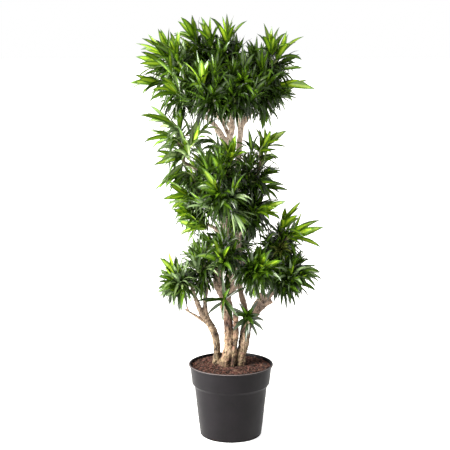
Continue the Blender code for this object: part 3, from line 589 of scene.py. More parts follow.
def shoot_places(mass, more, walls, root, airy, chance):
    """Each shoot's end, direction and ease: those of the solids first, then more between them."""
    centre = Vector(mass.centre)
    first = chance.uniform(0, math.tau)
    places = []
    for number in range(SHOOT_PLACES):
        rise = SHOOT_RISE[0] + (SHOOT_RISE[1] - SHOOT_RISE[0]) * (number + 0.5) / SHOOT_PLACES
        turn = first + number * GOLDEN
        level = math.sqrt(1 - rise ** 2)
        way = (level * math.cos(turn), level * math.sin(turn), rise)
        out = Vector([way[axis] * mass.size[axis] for axis in range(3)])
        share = max(SHOOT_LEAST, 1 - SHOOT_INSET / out.length) * chance.uniform(*SHOOT_DEPTH)
        place = centre + out * share
        if all(normal.dot(place) < reach - SHOOT_CLEAR for normal, reach in walls):
            places.append(place)
    shoots = [(Vector(end), Vector(way).normalized(), LEAD_EASE) for end, way in (*mass.leads, *more)]
    count = mass.shoots if sprouts(mass) else round(MORE_SHOOTS * airy * mass.shoots)
    while places and len(shoots) < count:
        place = max(places, key=lambda spot: min([(spot - shoot[0]).length for shoot in shoots], default=spot.z))
        places.remove(place)
        stray = Vector([chance.uniform(-SHOOT_STRAY, SHOOT_STRAY) for axis in range(3)])
        high = 0.5 + 0.5 * (place.z - centre.z) / mass.size[2]
        lift = SHOOT_LIFT[0] + (SHOOT_LIFT[1] - SHOOT_LIFT[0]) * high
        final = (place - root).normalized() + Vector((0, 0, lift)) + stray
        shoots.append((place, final.normalized(), PLAIN_EASE))
    return shoots


def fine_twig(start, way, end, final, thin):
    """A twig that leaves along one direction and ends along another, with many rings."""
    reach = (end - start).length
    first = start + way * TWIG_START * reach
    second = end - final * TWIG_ARRIVE * reach
    rows = []
    for step in range(TWIG_RINGS):
        t = step / (TWIG_RINGS - 1)
        point = start * (1 - t) ** 3 + first * 3 * t * (1 - t) ** 2 + second * 3 * t ** 2 * (1 - t) + end * t ** 3
        rows.append((*point, thin * (TWIG_RADIUS[0] + (TWIG_RADIUS[1] - TWIG_RADIUS[0]) * t)))
    return np.array(rows)


def lead_kind(name, place):
    """The kind of a mass's leading shoot, by its place among those of the solids and the further ones."""
    own = len(CROWN[name].leads)
    if place >= own:
        return MORE_LEADS[name][place - own][2]
    return LEAD_KINDS.get(name, {}).get(place, "fresh")


def grow_shoots(name, number):
    """A mass's stem and its shoots, each grown from the nearest fit place of the wood before it."""
    mass = CROWN[name]
    chance = random.Random(SEED + number)
    walls = space_walls(name)
    start, way = mass_start(name, mass)
    core = Vector(mass.centre) - Vector((0, 0, CORE_DROP * mass.size[2]))
    bend = start + way * STEM_STRAIGHT * (core - start).length
    knots = ((*start, STEM_RADIUS[0]), (*bend, STEM_RADIUS[0]), (*core, STEM_RADIUS[1]))
    rough = spline(knots, STEM_RINGS)
    places = [(Vector(rough[step][:3]), heading(rough, step)) for step in range(2, len(rough))]
    shoots = []
    spray = random.Random(SEED * (number + 2))
    root = start.lerp(core, SHOOT_ROOT)
    shares = KIND_SHARES[LIGHT.get(name, "even")]
    more = [lead[:2] for lead in MORE_LEADS.get(name, ())]
    for count, (end, final, ease) in enumerate(shoot_places(mass, more, walls, root, AIRY.get(name, 1.0), chance)):
        fit = [place for place in places if (end - place[0]).length > TWIG_LEAST] or places
        fork, along = min(fit, key=lambda place: fork_cost(place, end))
        thin = 1.0 if count < mass.shoots else THIN_TWIG
        path = fine_twig(fork - along * TWIG_SUNK, along, end, final, thin)
        kind = spray.choices(MIXED_KINDS, shares)[0]
        if sprouts(mass):
            kind = SPRIG_KINDS[name]
        elif ease == LEAD_EASE:
            kind = lead_kind(name, count)
        shoots.append(Shoot(path, final, ease, kind, SPRIG_TURNS.get(name, 0.0)))
        middle = len(path) // 2
        places.append((Vector(path[middle][:3]), heading(path, middle)))
    return walls, spline(knots, WOOD_RINGS), shoots


def outline(share):
    """A leaf's half width at a share of its length, as a share of its widest."""
    return max(math.sin(math.pi * min(share, 1.0) ** 0.74) ** 0.9, LEAF_BASE * (1 - share) ** 3)


def leaf_points(blade, root, way, up, length, width, curl, droop, twist):
    """The rows of points across a folded leaf that curls back and droops, and its tip."""
    rows = []
    point = root.copy()
    ahead = way.copy()
    normal = up.copy()
    for row in range(blade.rows):
        share = row / blade.rows
        if row:
            bend = 2 * share / blade.rows
            point = point + ahead * length / blade.rows
            ahead = (ahead - normal * curl * bend + DOWN * droop * bend).normalized()
            normal = (normal - ahead * normal.dot(ahead)).normalized()
        turn = Matrix.Rotation(twist * share, 3, ahead)
        half = width / 2 * outline(share)
        closed = blade.fold[0] + (blade.fold[1] - blade.fold[0]) * share
        flat = turn @ ahead.cross(normal) * half * math.cos(closed)
        rise = turn @ normal * half * math.sin(closed)
        rows.append([point + flat * across + rise * abs(across) for across in blade.across])
    return rows, point + ahead * length / blade.rows


def in_space(point, mass, walls, ease):
    """Whether a point lies in a mass's own space."""
    if any(normal.dot(point) > reach + WALL_EASE for normal, reach in walls):
        return False
    away = point - Vector(mass.centre)
    return sum((away[axis] / mass.size[axis]) ** 2 for axis in range(3)) <= ease


def leaves_of_shoot(mass, walls, shoot, limbs, chance):
    """The leaves along the end of one twig, each as its rows of points, its tip and its tone."""
    leaves = []
    kind = KINDS[shoot.kind]
    path = shoot.path
    along = np.concatenate(([0.0], np.cumsum(np.linalg.norm(np.diff(path[:, :3], axis=0), axis=1))))
    leafy = min(kind.leafy, 0.9 * along[-1])
    count = round(kind.count * (leafy / kind.leafy) ** 0.5)
    side = shoot.final.orthogonal().normalized()
    first = chance.uniform(0, math.tau) + shoot.turn
    vigour = chance.uniform(*(LEAD_VIGOUR if shoot.ease == LEAD_EASE else VIGOUR))
    for number in range(count):
        age = (number + 0.5) / count
        place = along[-1] - age ** kind.crowding * leafy
        root = Vector([float(np.interp(place, along, path[:, axis])) for axis in range(3)])
        turn = first + number * GOLDEN + chance.uniform(-LEAF_TURN_SPREAD, LEAF_TURN_SPREAD)
        spoke = Matrix.Rotation(turn, 3, shoot.final) @ side
        lean = LEAF_LEAN[0] + (LEAF_LEAN[1] - LEAF_LEAN[0]) * kind.spread * age ** kind.late
        lean += chance.uniform(-LEAF_LEAN_SPREAD, LEAF_LEAN_SPREAD)
        way = shoot.final * math.cos(lean) + spoke * math.sin(lean)
        way = (way + DOWN * LEAF_SAG * age).normalized()
        up = (shoot.final - way * shoot.final.dot(way)).normalized()
        grown = min(1.0, LEAF_YOUNG + (1 - LEAF_YOUNG) * age / LEAF_GROWN_AT)
        aged = min(1.0, max(0.0, (age - LEAF_OLD_AT[0]) / (LEAF_OLD_AT[1] - LEAF_OLD_AT[0])))
        length, width = (grown * (young + (old - young) * aged) for young, old in zip(kind.young, kind.old))
        length *= vigour * chance.uniform(1 - LEAF_SPREAD, 1 + LEAF_SPREAD)
        width *= chance.uniform(0.88, 1.12)
        curl = (LEAF_CURL[0] + (LEAF_CURL[1] - LEAF_CURL[0]) * age) * chance.uniform(0.6, 1.4)
        droop = kind.limp * (LEAF_DROOP[0] + (LEAF_DROOP[1] - LEAF_DROOP[0]) * age) * chance.uniform(0.7, 1.3)
        twist = chance.uniform(-LEAF_TWIST, LEAF_TWIST)
        looks = min(1.0, age * (1 + chance.uniform(-TONE_SPREAD, TONE_SPREAD)))
        tone = next(tone for tone, limit in kind.tones if looks < limit)
        blade = BLADES[BLADE_OF_TONE[tone]]
        middle = len(blade.across) // 2
        for shorter in SHORTENINGS:
            rows, tip = leaf_points(blade, root, way, up, length * shorter, width, curl, droop, twist)
            checks = (rows[2][middle], rows[4][middle], tip)
            if not all(in_space(point, mass, walls, shoot.ease) for point in checks):
                continue
            if any(limbs.find_nearest(point, LIMB_CLEAR)[0] is not None for point in checks):
                continue
            leaves.append((rows, tip, tone))
            break
    return leaves


def leaf_faces(blade):
    """The corners of a leaf's faces and, for each, whether it belongs to the stripe."""
    faces = []
    stripe = []
    wide = len(blade.across)
    tip = blade.rows * wide
    for row in range(blade.rows):
        for across in range(wide - 1):
            low = row * wide + across
            faces.append((low, low + 1, tip) if row == blade.rows - 1 else (low, low + 1, low + wide + 1, low + wide))
            stripe.append(wide > 3 and across in (1, 2) and row < blade.rows - 1)
    return faces, stripe


def leaves_mesh(name, leaves):
    """One mesh of many leaves, with a slot for each tone's stripe and margins."""
    points = []
    corners = []
    sizes = []
    slots = []
    start = 0
    for kind, blade in BLADES.items():
        faces, stripe = leaf_faces(blade)
        pattern = np.concatenate([np.array(face) for face in faces])
        count = blade.rows * len(blade.across) + 1
        for rows, tip, tone in leaves:
            if BLADE_OF_TONE[tone] != kind:
                continue
            points.append(np.array([point for row in rows for point in row] + [tip], dtype=np.float32))
            corners.append(pattern + start)
            sizes.extend([len(face) for face in faces])
            slots.extend([2 * TONES.index(tone) + (0 if middle else 1) for middle in stripe])
            start += count
    corners = np.concatenate(corners).astype(np.int32)
    mesh = bpy.data.meshes.new(name)
    mesh.vertices.add(start)
    mesh.vertices.foreach_set("co", np.concatenate(points).ravel())
    mesh.loops.add(len(corners))
    mesh.loops.foreach_set("vertex_index", corners)
    mesh.polygons.add(len(sizes))
    mesh.polygons.foreach_set("loop_start", np.concatenate(([0], np.cumsum(sizes)[:-1])).astype(np.int32))
    mesh.polygons.foreach_set("loop_total", np.array(sizes, dtype=np.int32))
    mesh.polygons.foreach_set("material_index", np.array(slots, dtype=np.int32))
    mesh.update(calc_edges=True)
    mesh.shade_smooth()
    return mesh


def new_material(name, colour, roughness):
    """A Principled material with a plain base colour, and its tree and shader."""
    made = bpy.data.materials.new(name)
    made.use_nodes = True
    tree = made.node_tree
    shader = tree.nodes["Principled BSDF"]
    shader.inputs["Base Color"].default_value = (*colour, 1.0)
    shader.inputs["Roughness"].default_value = roughness
    return made, tree, shader


def add_noise(tree, scale, detail, stretch=(1.0, 1.0, 1.0)):
    """A noise pattern in the object's own metres, stretched along its axes."""
    place = tree.nodes.new("ShaderNodeTexCoord")
    mapping = tree.nodes.new("ShaderNodeMapping")
    mapping.inputs["Scale"].default_value = stretch
    pattern = tree.nodes.new("ShaderNodeTexNoise")
    pattern.inputs["Scale"].default_value = scale
    pattern.inputs["Detail"].default_value = detail
    tree.links.new(place.outputs["Object"], mapping.inputs["Vector"])
    tree.links.new(mapping.outputs["Vector"], pattern.inputs["Vector"])
    return pattern.outputs["Fac"]


def add_ramp(tree, value, stops):
    """A colour ramp from stops of place and colour."""
    ramp = tree.nodes.new("ShaderNodeValToRGB")
    for number, (place, colour) in enumerate(stops):
        if number < 2:
            stop = ramp.color_ramp.elements[number]
            stop.position = place
        else:
            stop = ramp.color_ramp.elements.new(place)
        stop.color = (*colour, 1.0)
    tree.links.new(value, ramp.inputs["Fac"])
    return ramp.outputs["Color"]


def add_bump(tree, shader, value, strength, distance):
    """Relief from a pattern."""
    bump = tree.nodes.new("ShaderNodeBump")
    bump.inputs["Strength"].default_value = strength
    bump.inputs["Distance"].default_value = distance
    tree.links.new(value, bump.inputs["Height"])
    tree.links.new(bump.outputs["Normal"], shader.inputs["Normal"])


def add_roughness(tree, shader, value, low, high):
    """Roughness that varies between two values with a pattern."""
    spread = tree.nodes.new("ShaderNodeMapRange")
    spread.inputs["To Min"].default_value = low
    spread.inputs["To Max"].default_value = high
    tree.links.new(value, spread.inputs["Value"])
    tree.links.new(spread.outputs["Result"], shader.inputs["Roughness"])


def leaf_material(name, colour):
    """A leaf's waxy surface in one plain colour."""
    made, tree, shader = new_material(name, colour, 0.4)
    shader.inputs["Specular IOR Level"].default_value = LEAF_GLOSS
    add_roughness(tree, shader, add_noise(tree, 60, 2), 0.18, 0.32)
    add_bump(tree, shader, add_noise(tree, 900, 2), 0.12, 0.0006)
    return made


def bark_material(name, wood_shades, patch_shades):
    """Bark, dark in its fissures and pits as painted shade and pale on its ridges, with patches of another shade, and
    painted paler higher up as painted light.
    """
    made, tree, shader = new_material(name, sun(*wood_shades[2][1]), 0.85)
    relief = tree.nodes.new("ShaderNodeAttribute")
    relief.attribute_name = "relief"
    # painted shade: the bark's colour follows its relief, darkest in the fissures and pits
    wood = add_ramp(tree, relief.outputs["Fac"], [(place, sun(*shade)) for place, shade in wood_shades])
    patches = add_ramp(tree, add_noise(tree, 34, 4), ((0.52, (0.0, 0.0, 0.0)), (0.66, (0.75, 0.75, 0.75))))
    pink = tree.nodes.new("ShaderNodeMix")
    pink.data_type = "RGBA"
    pink.blend_type = "MIX"
    tree.links.new(patches, pink.inputs["Factor"])
    tree.links.new(wood, pink.inputs["A"])
    blush = add_ramp(tree, relief.outputs["Fac"], [(place, sun(*shade)) for place, shade in patch_shades])
    tree.links.new(blush, pink.inputs["B"])
    place = tree.nodes.new("ShaderNodeTexCoord")
    split = tree.nodes.new("ShaderNodeSeparateXYZ")
    tree.links.new(place.outputs["Object"], split.inputs["Vector"])
    # painted light: the wood's colour is mixed towards a pale cream with height
    young = tree.nodes.new("ShaderNodeMapRange")
    young.inputs["From Min"].default_value, young.inputs["From Max"].default_value = PAINTED_LIGHT_HEIGHTS
    young.inputs["To Max"].default_value = PAINTED_LIGHT_STRENGTH
    tree.links.new(split.outputs["Z"], young.inputs["Value"])
    painted_light = tree.nodes.new("ShaderNodeMix")
    painted_light.data_type = "RGBA"
    tree.links.new(young.outputs["Result"], painted_light.inputs["Factor"])
    tree.links.new(pink.outputs["Result"], painted_light.inputs["A"])
    painted_light.inputs["B"].default_value = (*PAINTED_LIGHT_SHADE, 1.0)
    foot = tree.nodes.new("ShaderNodeMapRange")
    foot.inputs["From Min"].default_value, foot.inputs["From Max"].default_value = MOSSY_WOOD
    foot.inputs["To Min"].default_value, foot.inputs["To Max"].default_value = MOSS_DENSITY
    tree.links.new(split.outputs["Z"], foot.inputs["Value"])
    spread = tree.nodes.new("ShaderNodeMath")
    spread.operation = "MULTIPLY"
    tree.links.new(add_ramp(tree, add_noise(tree, 75, 5), ((0.44, (0, 0, 0)), (0.56, (1, 1, 1)))), spread.inputs[0])
    tree.links.new(foot.outputs["Result"], spread.inputs[1])
    moss = tree.nodes.new("ShaderNodeMix")
    moss.data_type = "RGBA"
    tree.links.new(spread.outputs["Value"], moss.inputs["Factor"])
    tree.links.new(painted_light.outputs["Result"], moss.inputs["A"])
    # the moss too is painted darker in the bark's hollows, as painted shade
    green = add_ramp(tree, relief.outputs["Fac"], ((0.20, sun(58, 49, 28)), (0.66, sun(152, 137, 98))))
    tree.links.new(green, moss.inputs["B"])
    specks = tree.nodes.new("ShaderNodeMix")
    specks.data_type = "RGBA"
    specks.blend_type = "MULTIPLY"
    specks.inputs["Factor"].default_value = 1.0
    tree.links.new(moss.outputs["Result"], specks.inputs["A"])
    spots = add_ramp(tree, add_noise(tree, 210, 3, (1.0, 1.0, 0.7)), ((0.37, SPECK_SHADE), (0.46, (1, 1, 1))))
    tree.links.new(spots, specks.inputs["B"])
    tree.links.new(specks.outputs["Result"], shader.inputs["Base Color"])
    add_roughness(tree, shader, add_noise(tree, 120, 4), 0.72, 0.95)
    add_bump(tree, shader, add_noise(tree, 520, 8, (1.0, 1.0, 0.5)), 0.7, 0.0016)
    return made


def twig_material(name, colour):
    """Young wood in one plain colour."""
    made, tree, shader = new_material(name, colour, 0.7)
    add_roughness(tree, shader, add_noise(tree, 150, 3), 0.55, 0.85)
    add_bump(tree, shader, add_noise(tree, 500, 5, (1.0, 1.0, 2.5)), 0.4, 0.001)
    return made


def soil_material(name, colours):
    """One of the soil's earthy tones."""
    made, tree, shader = new_material(name, colours[0], 0.95)
    colour = add_ramp(tree, add_noise(tree, 220, 4), ((0.35, colours[0]), (0.65, colours[1])))
    tree.links.new(colour, shader.inputs["Base Color"])
    add_roughness(tree, shader, add_noise(tree, 200, 3), 0.85, 1.0)
    add_bump(tree, shader, add_noise(tree, 700, 6), 0.8, 0.0015)
    return made


def pot_material(name, shade, roughness):
    """Dark grey moulded plastic, faintly dusty, with painted shade darkening its foot."""
    made, tree, shader = new_material(name, sun(*shade[0]), roughness)
    shader.inputs["Specular IOR Level"].default_value = POT_GLOSS
    colour = add_ramp(tree, add_noise(tree, 14, 6), ((0.30, sun(*shade[0])), (0.70, sun(*shade[1]))))
    place = tree.nodes.new("ShaderNodeTexCoord")
    split = tree.nodes.new("ShaderNodeSeparateXYZ")
    tree.links.new(place.outputs["Object"], split.inputs["Vector"])
    # painted shade: the colour darkens towards the pot's foot, standing in for the shade where it meets the floor
    foot = tree.nodes.new("ShaderNodeMapRange")
    foot.inputs["From Max"].default_value = POT_PAINTED_SHADE_HEIGHT
    foot.inputs["To Min"].default_value = POT_FOOT_PAINTED_SHADE
    tree.links.new(split.outputs["Z"], foot.inputs["Value"])
    foot_painted_shade = tree.nodes.new("ShaderNodeMix")
    foot_painted_shade.data_type = "RGBA"
    foot_painted_shade.blend_type = "MULTIPLY"
    foot_painted_shade.inputs["Factor"].default_value = 1.0
    tree.links.new(colour, foot_painted_shade.inputs["A"])
    tree.links.new(foot.outputs["Result"], foot_painted_shade.inputs["B"])
    tree.links.new(foot_painted_shade.outputs["Result"], shader.inputs["Base Color"])
    add_roughness(tree, shader, add_noise(tree, 35, 5), roughness - 0.06, roughness + 0.08)
    add_bump(tree, shader, add_noise(tree, 900, 4), 0.10, 0.0006)
    return made


def inner_radius(height):
    """The radius of the pot's inner face at a height."""
    rise = (height - FLOOR) / (SHOULDER_FOOT - FLOOR)
    if rise <= 1.0:
        return BASE_RADIUS + (SHOULDER_RADIUS - BASE_RADIUS) * rise - WALL
    if height >= COLLAR_FOOT:
        rise = (height - COLLAR_FOOT) / (POT_HEIGHT - COLLAR_FOOT)
        return COLLAR_FOOT_RADIUS + (COLLAR_TOP_RADIUS - COLLAR_FOOT_RADIUS) * rise - WALL
    rise = (height - SHOULDER_FOOT) / (COLLAR_FOOT - SHOULDER_FOOT)
    return SHOULDER_RADIUS + (COLLAR_FOOT_RADIUS - SHOULDER_RADIUS) * rise - WALL


def arc(centre, radius, start, end, count):
    """Profile points on an arc, angles in degrees from outward, counted upwards."""
    return [(centre[0] + radius * math.cos(math.radians(start + (end - start) * step / (count - 1))),
             centre[1] + radius * math.sin(math.radians(start + (end - start) * step / (count - 1))))
            for step in range(count)]


def turned_mesh(name, profile, segments):
    """Turns a profile of radius and height about Z; its ends lie on the axis."""
    turns = np.linspace(0, math.tau, segments, endpoint=False)
    points = [(0.0, 0.0, profile[0][1])]
    for radius, height in profile[1:-1]:
        points.extend([(radius * math.cos(turn), radius * math.sin(turn), height) for turn in turns])
    points.append((0.0, 0.0, profile[-1][1]))
    faces = []
    rows = len(profile) - 2
    for side in range(segments):
        after = (side + 1) % segments
        faces.append((0, 1 + after, 1 + side))
        for row in range(rows - 1):
            low = 1 + row * segments
            faces.append((low + side, low + after, low + segments + after, low + segments + side))
        last = 1 + (rows - 1) * segments
        faces.append((last + side, last + after, len(points) - 1))
    mesh = bpy.data.meshes.new(name)
    mesh.from_pydata(points, [], faces)
    mesh.update()
    return mesh


POT_SHADES = ((15, 13, 15), (20, 17, 20))
# How far up the pot's foot is darkened by painted shade where it meets the floor, and how dark its lowest edge is
# painted
POT_PAINTED_SHADE_HEIGHT = 0.014
POT_FOOT_PAINTED_SHADE = 0.25
# The lip's upward-facing ridge is painted as a highlight: its shades, and how far up a face must point to get them
LIP_HIGHLIGHT_SHADES = ((96, 88, 88), (116, 107, 106))
LIP_HIGHLIGHT_FACING = 0.35


def make_pot():
    """The pot with rounded edges, a rolled lip with a painted highlight along its top, and its slots."""
    lip_foot = POT_HEIGHT - LIP_HEIGHT
    roll = LIP_HEIGHT / 2
    edge = 0.0016
    profile = [(0.0, 0.0)]
    profile += arc((BASE_RADIUS - BASE_ROUND, BASE_ROUND), BASE_ROUND, -90, 5, 8)
    profile += [(BASE_RADIUS + (SHOULDER_RADIUS - BASE_RADIUS) * share, SHOULDER_FOOT * share)
                for share in (0.25, 0.5, 0.75, 0.985)]
    profile += [(SHOULDER_RADIUS + 0.0006, SHOULDER_FOOT + 0.001)]
    profile += arc((COLLAR_FOOT_RADIUS - edge, COLLAR_FOOT + edge), edge, -60, 0, 5)
    profile += [(COLLAR_FOOT_RADIUS + (COLLAR_TOP_RADIUS - COLLAR_FOOT_RADIUS) * share,
                 COLLAR_FOOT + (lip_foot - COLLAR_FOOT) * share) for share in (0.3, 0.65, 0.99)]
    profile += arc((LIP_RADIUS - roll, lip_foot + roll), roll, -80, 90, 12)
    profile += arc((inner_radius(POT_HEIGHT) + edge, POT_HEIGHT - edge), edge, 90, 180, 5)
    profile += [(inner_radius(height), height) for height in (COLLAR_FOOT, SHOULDER_FOOT, FLOOR)]
    profile += [(0.0, FLOOR)]
    pot = link("pot_shell", turned_mesh("pot_shell", profile, 128))
    for count in range(NOTCH_COUNT):
        cut_notch(pot, NOTCH_TURN + math.tau * count / NOTCH_COUNT)
    pot.data.shade_smooth()
    pot.data.set_sharp_from_angle(angle=math.radians(32))
    pot.data.materials.clear()
    pot.data.materials.append(pot_material("pot_finish", POT_SHADES, 0.44))
    pot.data.materials.append(pot_material("pot_lip_painted_highlight", LIP_HIGHLIGHT_SHADES, 0.38))
    # painted highlight: faces of the lip's ridge that point up get the much lighter lip material
    for face in pot.data.polygons:
        on_lip = math.hypot(face.center.x, face.center.y) > LIP_RADIUS - 0.6 * LIP_HEIGHT
        face.material_index = int(on_lip and face.normal.z > LIP_HIGHLIGHT_FACING)
    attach(pot, "root")
    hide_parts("pot")


def cut_notch(pot, turn):
    """Cuts one drain slot through the foot of the pot's wall."""
    work = bmesh.new()
    bmesh.ops.create_cube(work, size=1.0)
    bmesh.ops.scale(work, verts=work.verts, vec=(NOTCH_DEPTH, NOTCH_WIDTH, NOTCH_HEIGHT))
    bmesh.ops.translate(work, verts=work.verts, vec=(BASE_RADIUS, 0.0, NOTCH_LOW + NOTCH_HEIGHT / 2))
    bmesh.ops.rotate(work, verts=work.verts, matrix=Matrix.Rotation(turn, 3, "Z"))
    mesh = bpy.data.meshes.new("notch")
    work.to_mesh(mesh)
    work.free()
    cutter = link("notch", mesh)
    cut = pot.modifiers.new("cut", "BOOLEAN")
    cut.operation = "DIFFERENCE"
    cut.solver = "EXACT"
    cut.object = cutter
    apply_modifiers(pot)
    bpy.data.objects.remove(cutter, do_unlink=True)


def apply_modifiers(thing):
    """Replaces an object's mesh with what its modifiers make of it."""
    bpy.context.view_layer.update()
    evaluated = thing.evaluated_get(bpy.context.evaluated_depsgraph_get())
    made = bpy.data.meshes.new_from_object(evaluated)
    old = thing.data
    thing.modifiers.clear()
    thing.data = made
    bpy.data.meshes.remove(old)


CHIP_COUNT = 3200
CHIP_LENGTH = (0.006, 0.019)
SOIL_TONES = (
    ("soil_dark", (sun(38, 25, 21), sun(56, 37, 31))),
    ("soil_red", (sun(82, 50, 42), sun(104, 66, 56))),
    ("soil_brown", (sun(70, 47, 38), sun(92, 64, 52))),
    ("soil_pale", (sun(118, 92, 74), sun(136, 108, 88))),
)


def soil_height(x, y):
    """The soil's rough surface."""
    away = math.hypot(x, y)
    dish = SOIL_DISH * max(0.0, (away - SOIL_FLAT) / (inner_radius(SOIL_TOP) - SOIL_FLAT))
    lumps = noise.noise(Vector((x * 45, y * 45, 0.0))) * 0.0022 + noise.noise(Vector((x * 140, y * 140, 3.0))) * 0.0014
    return SOIL_TOP - dish + lumps - 0.001


def make_soil():
    """Coarse bark mix: a lumpy body and many chips lying on it."""
    rim = inner_radius(SOIL_TOP - SOIL_DISH) - GAP
    foot = FLOOR + GAP
    rings = 44
    segments = 120
    profile = [(0.0, foot), (inner_radius(foot) - GAP, foot), (inner_radius(SHOULDER_FOOT) - GAP, SHOULDER_FOOT),
               (inner_radius(COLLAR_FOOT) - GAP, COLLAR_FOOT)]
    profile += [(rim * (1 - step / rings), SOIL_TOP) for step in range(rings)]
    profile += [(0.0, SOIL_TOP)]
    body = turned_mesh("soil_bed", profile, segments)
    for vertex in body.vertices:
        if vertex.co.z > COLLAR_FOOT + 0.01:
            vertex.co.z = soil_height(vertex.co.x, vertex.co.y)
    bed = link("soil_bed", body)
    bed.data.shade_smooth()
    bed.data.materials.append(soil_material("soil_bed_finish", SOIL_TONES[0][1]))
    chance = random.Random(SEED)
    shapes = []
    slots = []
    for _ in range(CHIP_COUNT):
        away = (rim - 0.004) * math.sqrt(chance.random())
        turn = chance.uniform(0, math.tau)
        x, y = away * math.cos(turn), away * math.sin(turn)
        length = chance.uniform(*CHIP_LENGTH) * chance.uniform(0.6, 1.0)
        size = (length, length * chance.uniform(0.35, 0.7), length * chance.uniform(0.15, 0.4))
        spin = Matrix.Rotation(chance.uniform(0, math.tau), 3, "Z")
        tilt = Matrix.Rotation(chance.gauss(0, 0.45), 3, "X") @ Matrix.Rotation(chance.gauss(0, 0.35), 3, "Y")
        centre = Vector((x, y, soil_height(x, y) + size[2] * chance.uniform(0.0, 0.7)))
        points = []
        for corner in range(8):
            offset = Vector([((corner >> axis & 1) - 0.5) * size[axis] * chance.uniform(0.55, 1.0)
                             for axis in range(3)])
            point = centre + spin @ tilt @ offset
            reach = math.hypot(point.x, point.y)
            limit = inner_radius(min(point.z, POT_HEIGHT)) - GAP
            if reach > limit:
                point.x *= limit / reach
                point.y *= limit / reach
            points.append(point)
        shapes.append((points, ((0, 2, 3, 1), (4, 5, 7, 6), (0, 1, 5, 4), (2, 6, 7, 3), (0, 4, 6, 2), (1, 3, 7, 5))))
        slots.extend([chance.choices((0, 1, 2, 3), (0.26, 0.40, 0.31, 0.03))[0]] * 6)
    points, faces = join_shapes(shapes)
    chips = link("soil_chips", plain_mesh("soil_chips", points, faces))
    chips.data.polygons.foreach_set("material_index", slots)
    for name, colours in SOIL_TONES:
        chips.data.materials.append(soil_material(name, colours))
    for piece in (bed, chips):
        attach(piece, "root")
        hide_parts("soil")


# Each bark's shades by how far it stands out, darkest in the fissures and pits as painted shade, and those of its
# patches
BARKS = {
    "tan": (((0.16, (31, 18, 12)), (0.34, (76, 54, 38)), (0.52, (116, 91, 71)), (0.76, (150, 127, 106))),
            ((0.25, (74, 45, 34)), (0.62, (147, 107, 88)))),
    "pale": (((0.16, (43, 30, 20)), (0.34, (92, 75, 57)), (0.52, (134, 114, 92)), (0.76, (162, 144, 122))),
             ((0.25, (80, 60, 44)), (0.62, (148, 122, 99)))),
    "brown": (((0.16, (28, 18, 12)), (0.34, (71, 52, 38)), (0.52, (110, 88, 70)), (0.76, (150, 128, 106))),
              ((0.25, (62, 37, 27)), (0.62, (133, 96, 79)))),
}
# Between which heights the moss on the wood's foot ends, and how dense it is there
MOSSY_WOOD = (0.30, 0.50)
MOSS_DENSITY = (0.55, 0.0)
SPECK_SHADE = (0.24, 0.19, 0.15)
# From which height to which the wood is painted paler, as painted light on the upper limbs, how far and towards which
# shade
PAINTED_LIGHT_HEIGHTS = (0.46, 1.05)
PAINTED_LIGHT_STRENGTH = 0.85
PAINTED_LIGHT_SHADE = sun(236, 213, 192)
# Wood in groups that keep apart, each with its limbs, the size of its facets and its bark
BARK_GROUPS = {
    "centre_bark": (("centre_stem", "centre_knuckle"), 0.0021, "tan"),
    "cane_bark": (("cut_cane",), 0.0016, "tan"),
    "left_bark": (("left_stem", "left_upright", "left_bough", "left_twig"), 0.0016, "pale"),
    "right_bark": (("right_stem", "right_bough"), 0.0017, "brown"),
    "rear_bark": (("rear_stem",), 0.0022, "tan"),
}
# A further prong on a twig
PRONGS = {"left_twig": ((-0.168, -0.039, 0.515), (-0.176, -0.040, 0.541), 0.0036)}
# Knobs of the bark: how many to the metre, and their height as a share of the limb's radius
KNOBS = ((24.0, 0.24), (62.0, 0.15), (160.0, 0.06), (380.0, 0.03))
FISSURE_ACROSS = 70.0
FISSURE_ALONG = 15.0
FISSURE_WIDTH = 0.16
FISSURE_DEPTH = 0.08
PIT_SCALE = 95.0
PIT_LEVEL = 0.31
PIT_DEPTH = 0.6
THICKEST = 0.024


def make_bark(paths):
    """All stems and boughs as skins of wood, with knobs, pits and fissures."""
    finishes = {kind: bark_material(kind + "_bark_finish", *shades) for kind, shades in BARKS.items()}
    for group, (members, voxel, kind) in BARK_GROUPS.items():
        limbs = list(members)
        limbs += [name + "_bough" for name, mass in CROWN.items() if mass.radius and mass.host in members]
        shapes = [tube_arrays(paths[limb], 20) for limb in limbs]
        for limb, (start, end, radius) in (*STUBS.items(), *PRONGS.items()):
            if limb in members:
                shapes.append(tube_arrays(spline(((*start, radius), (*end, STUB_TAPER * radius)), 6), 14))
        bark = link(group, plain_mesh(group, *join_shapes(shapes)))
        remesh = bark.modifiers.new("voxels", "REMESH")
        remesh.mode = "VOXEL"
        remesh.voxel_size = voxel
        smooth = bark.modifiers.new("smooth", "SMOOTH")
        smooth.iterations = 2
        apply_modifiers(bark)
        roughen(bark.data, np.concatenate([paths[limb] for limb in limbs]))
        bark.data.shade_smooth()
        bark.data.materials.clear()
        bark.data.materials.append(finishes[kind])
        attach(bark, "root")
        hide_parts(*limbs)


def bark_push(spot):
    """How far the bark stands out at a spot, as a share of the limb's radius."""
    push = sum(noise.noise(spot * scale) * share for scale, share in KNOBS)
    grain = noise.noise(Vector((spot.x * FISSURE_ACROSS, spot.y * FISSURE_ACROSS, spot.z * FISSURE_ALONG)))
    push -= FISSURE_DEPTH * max(0.0, 1 - abs(grain) / FISSURE_WIDTH)
    pit = noise.noise(spot * PIT_SCALE + Vector((9.0, 0.0, 0.0)))
    return push - PIT_DEPTH * max(0.0, pit - PIT_LEVEL)


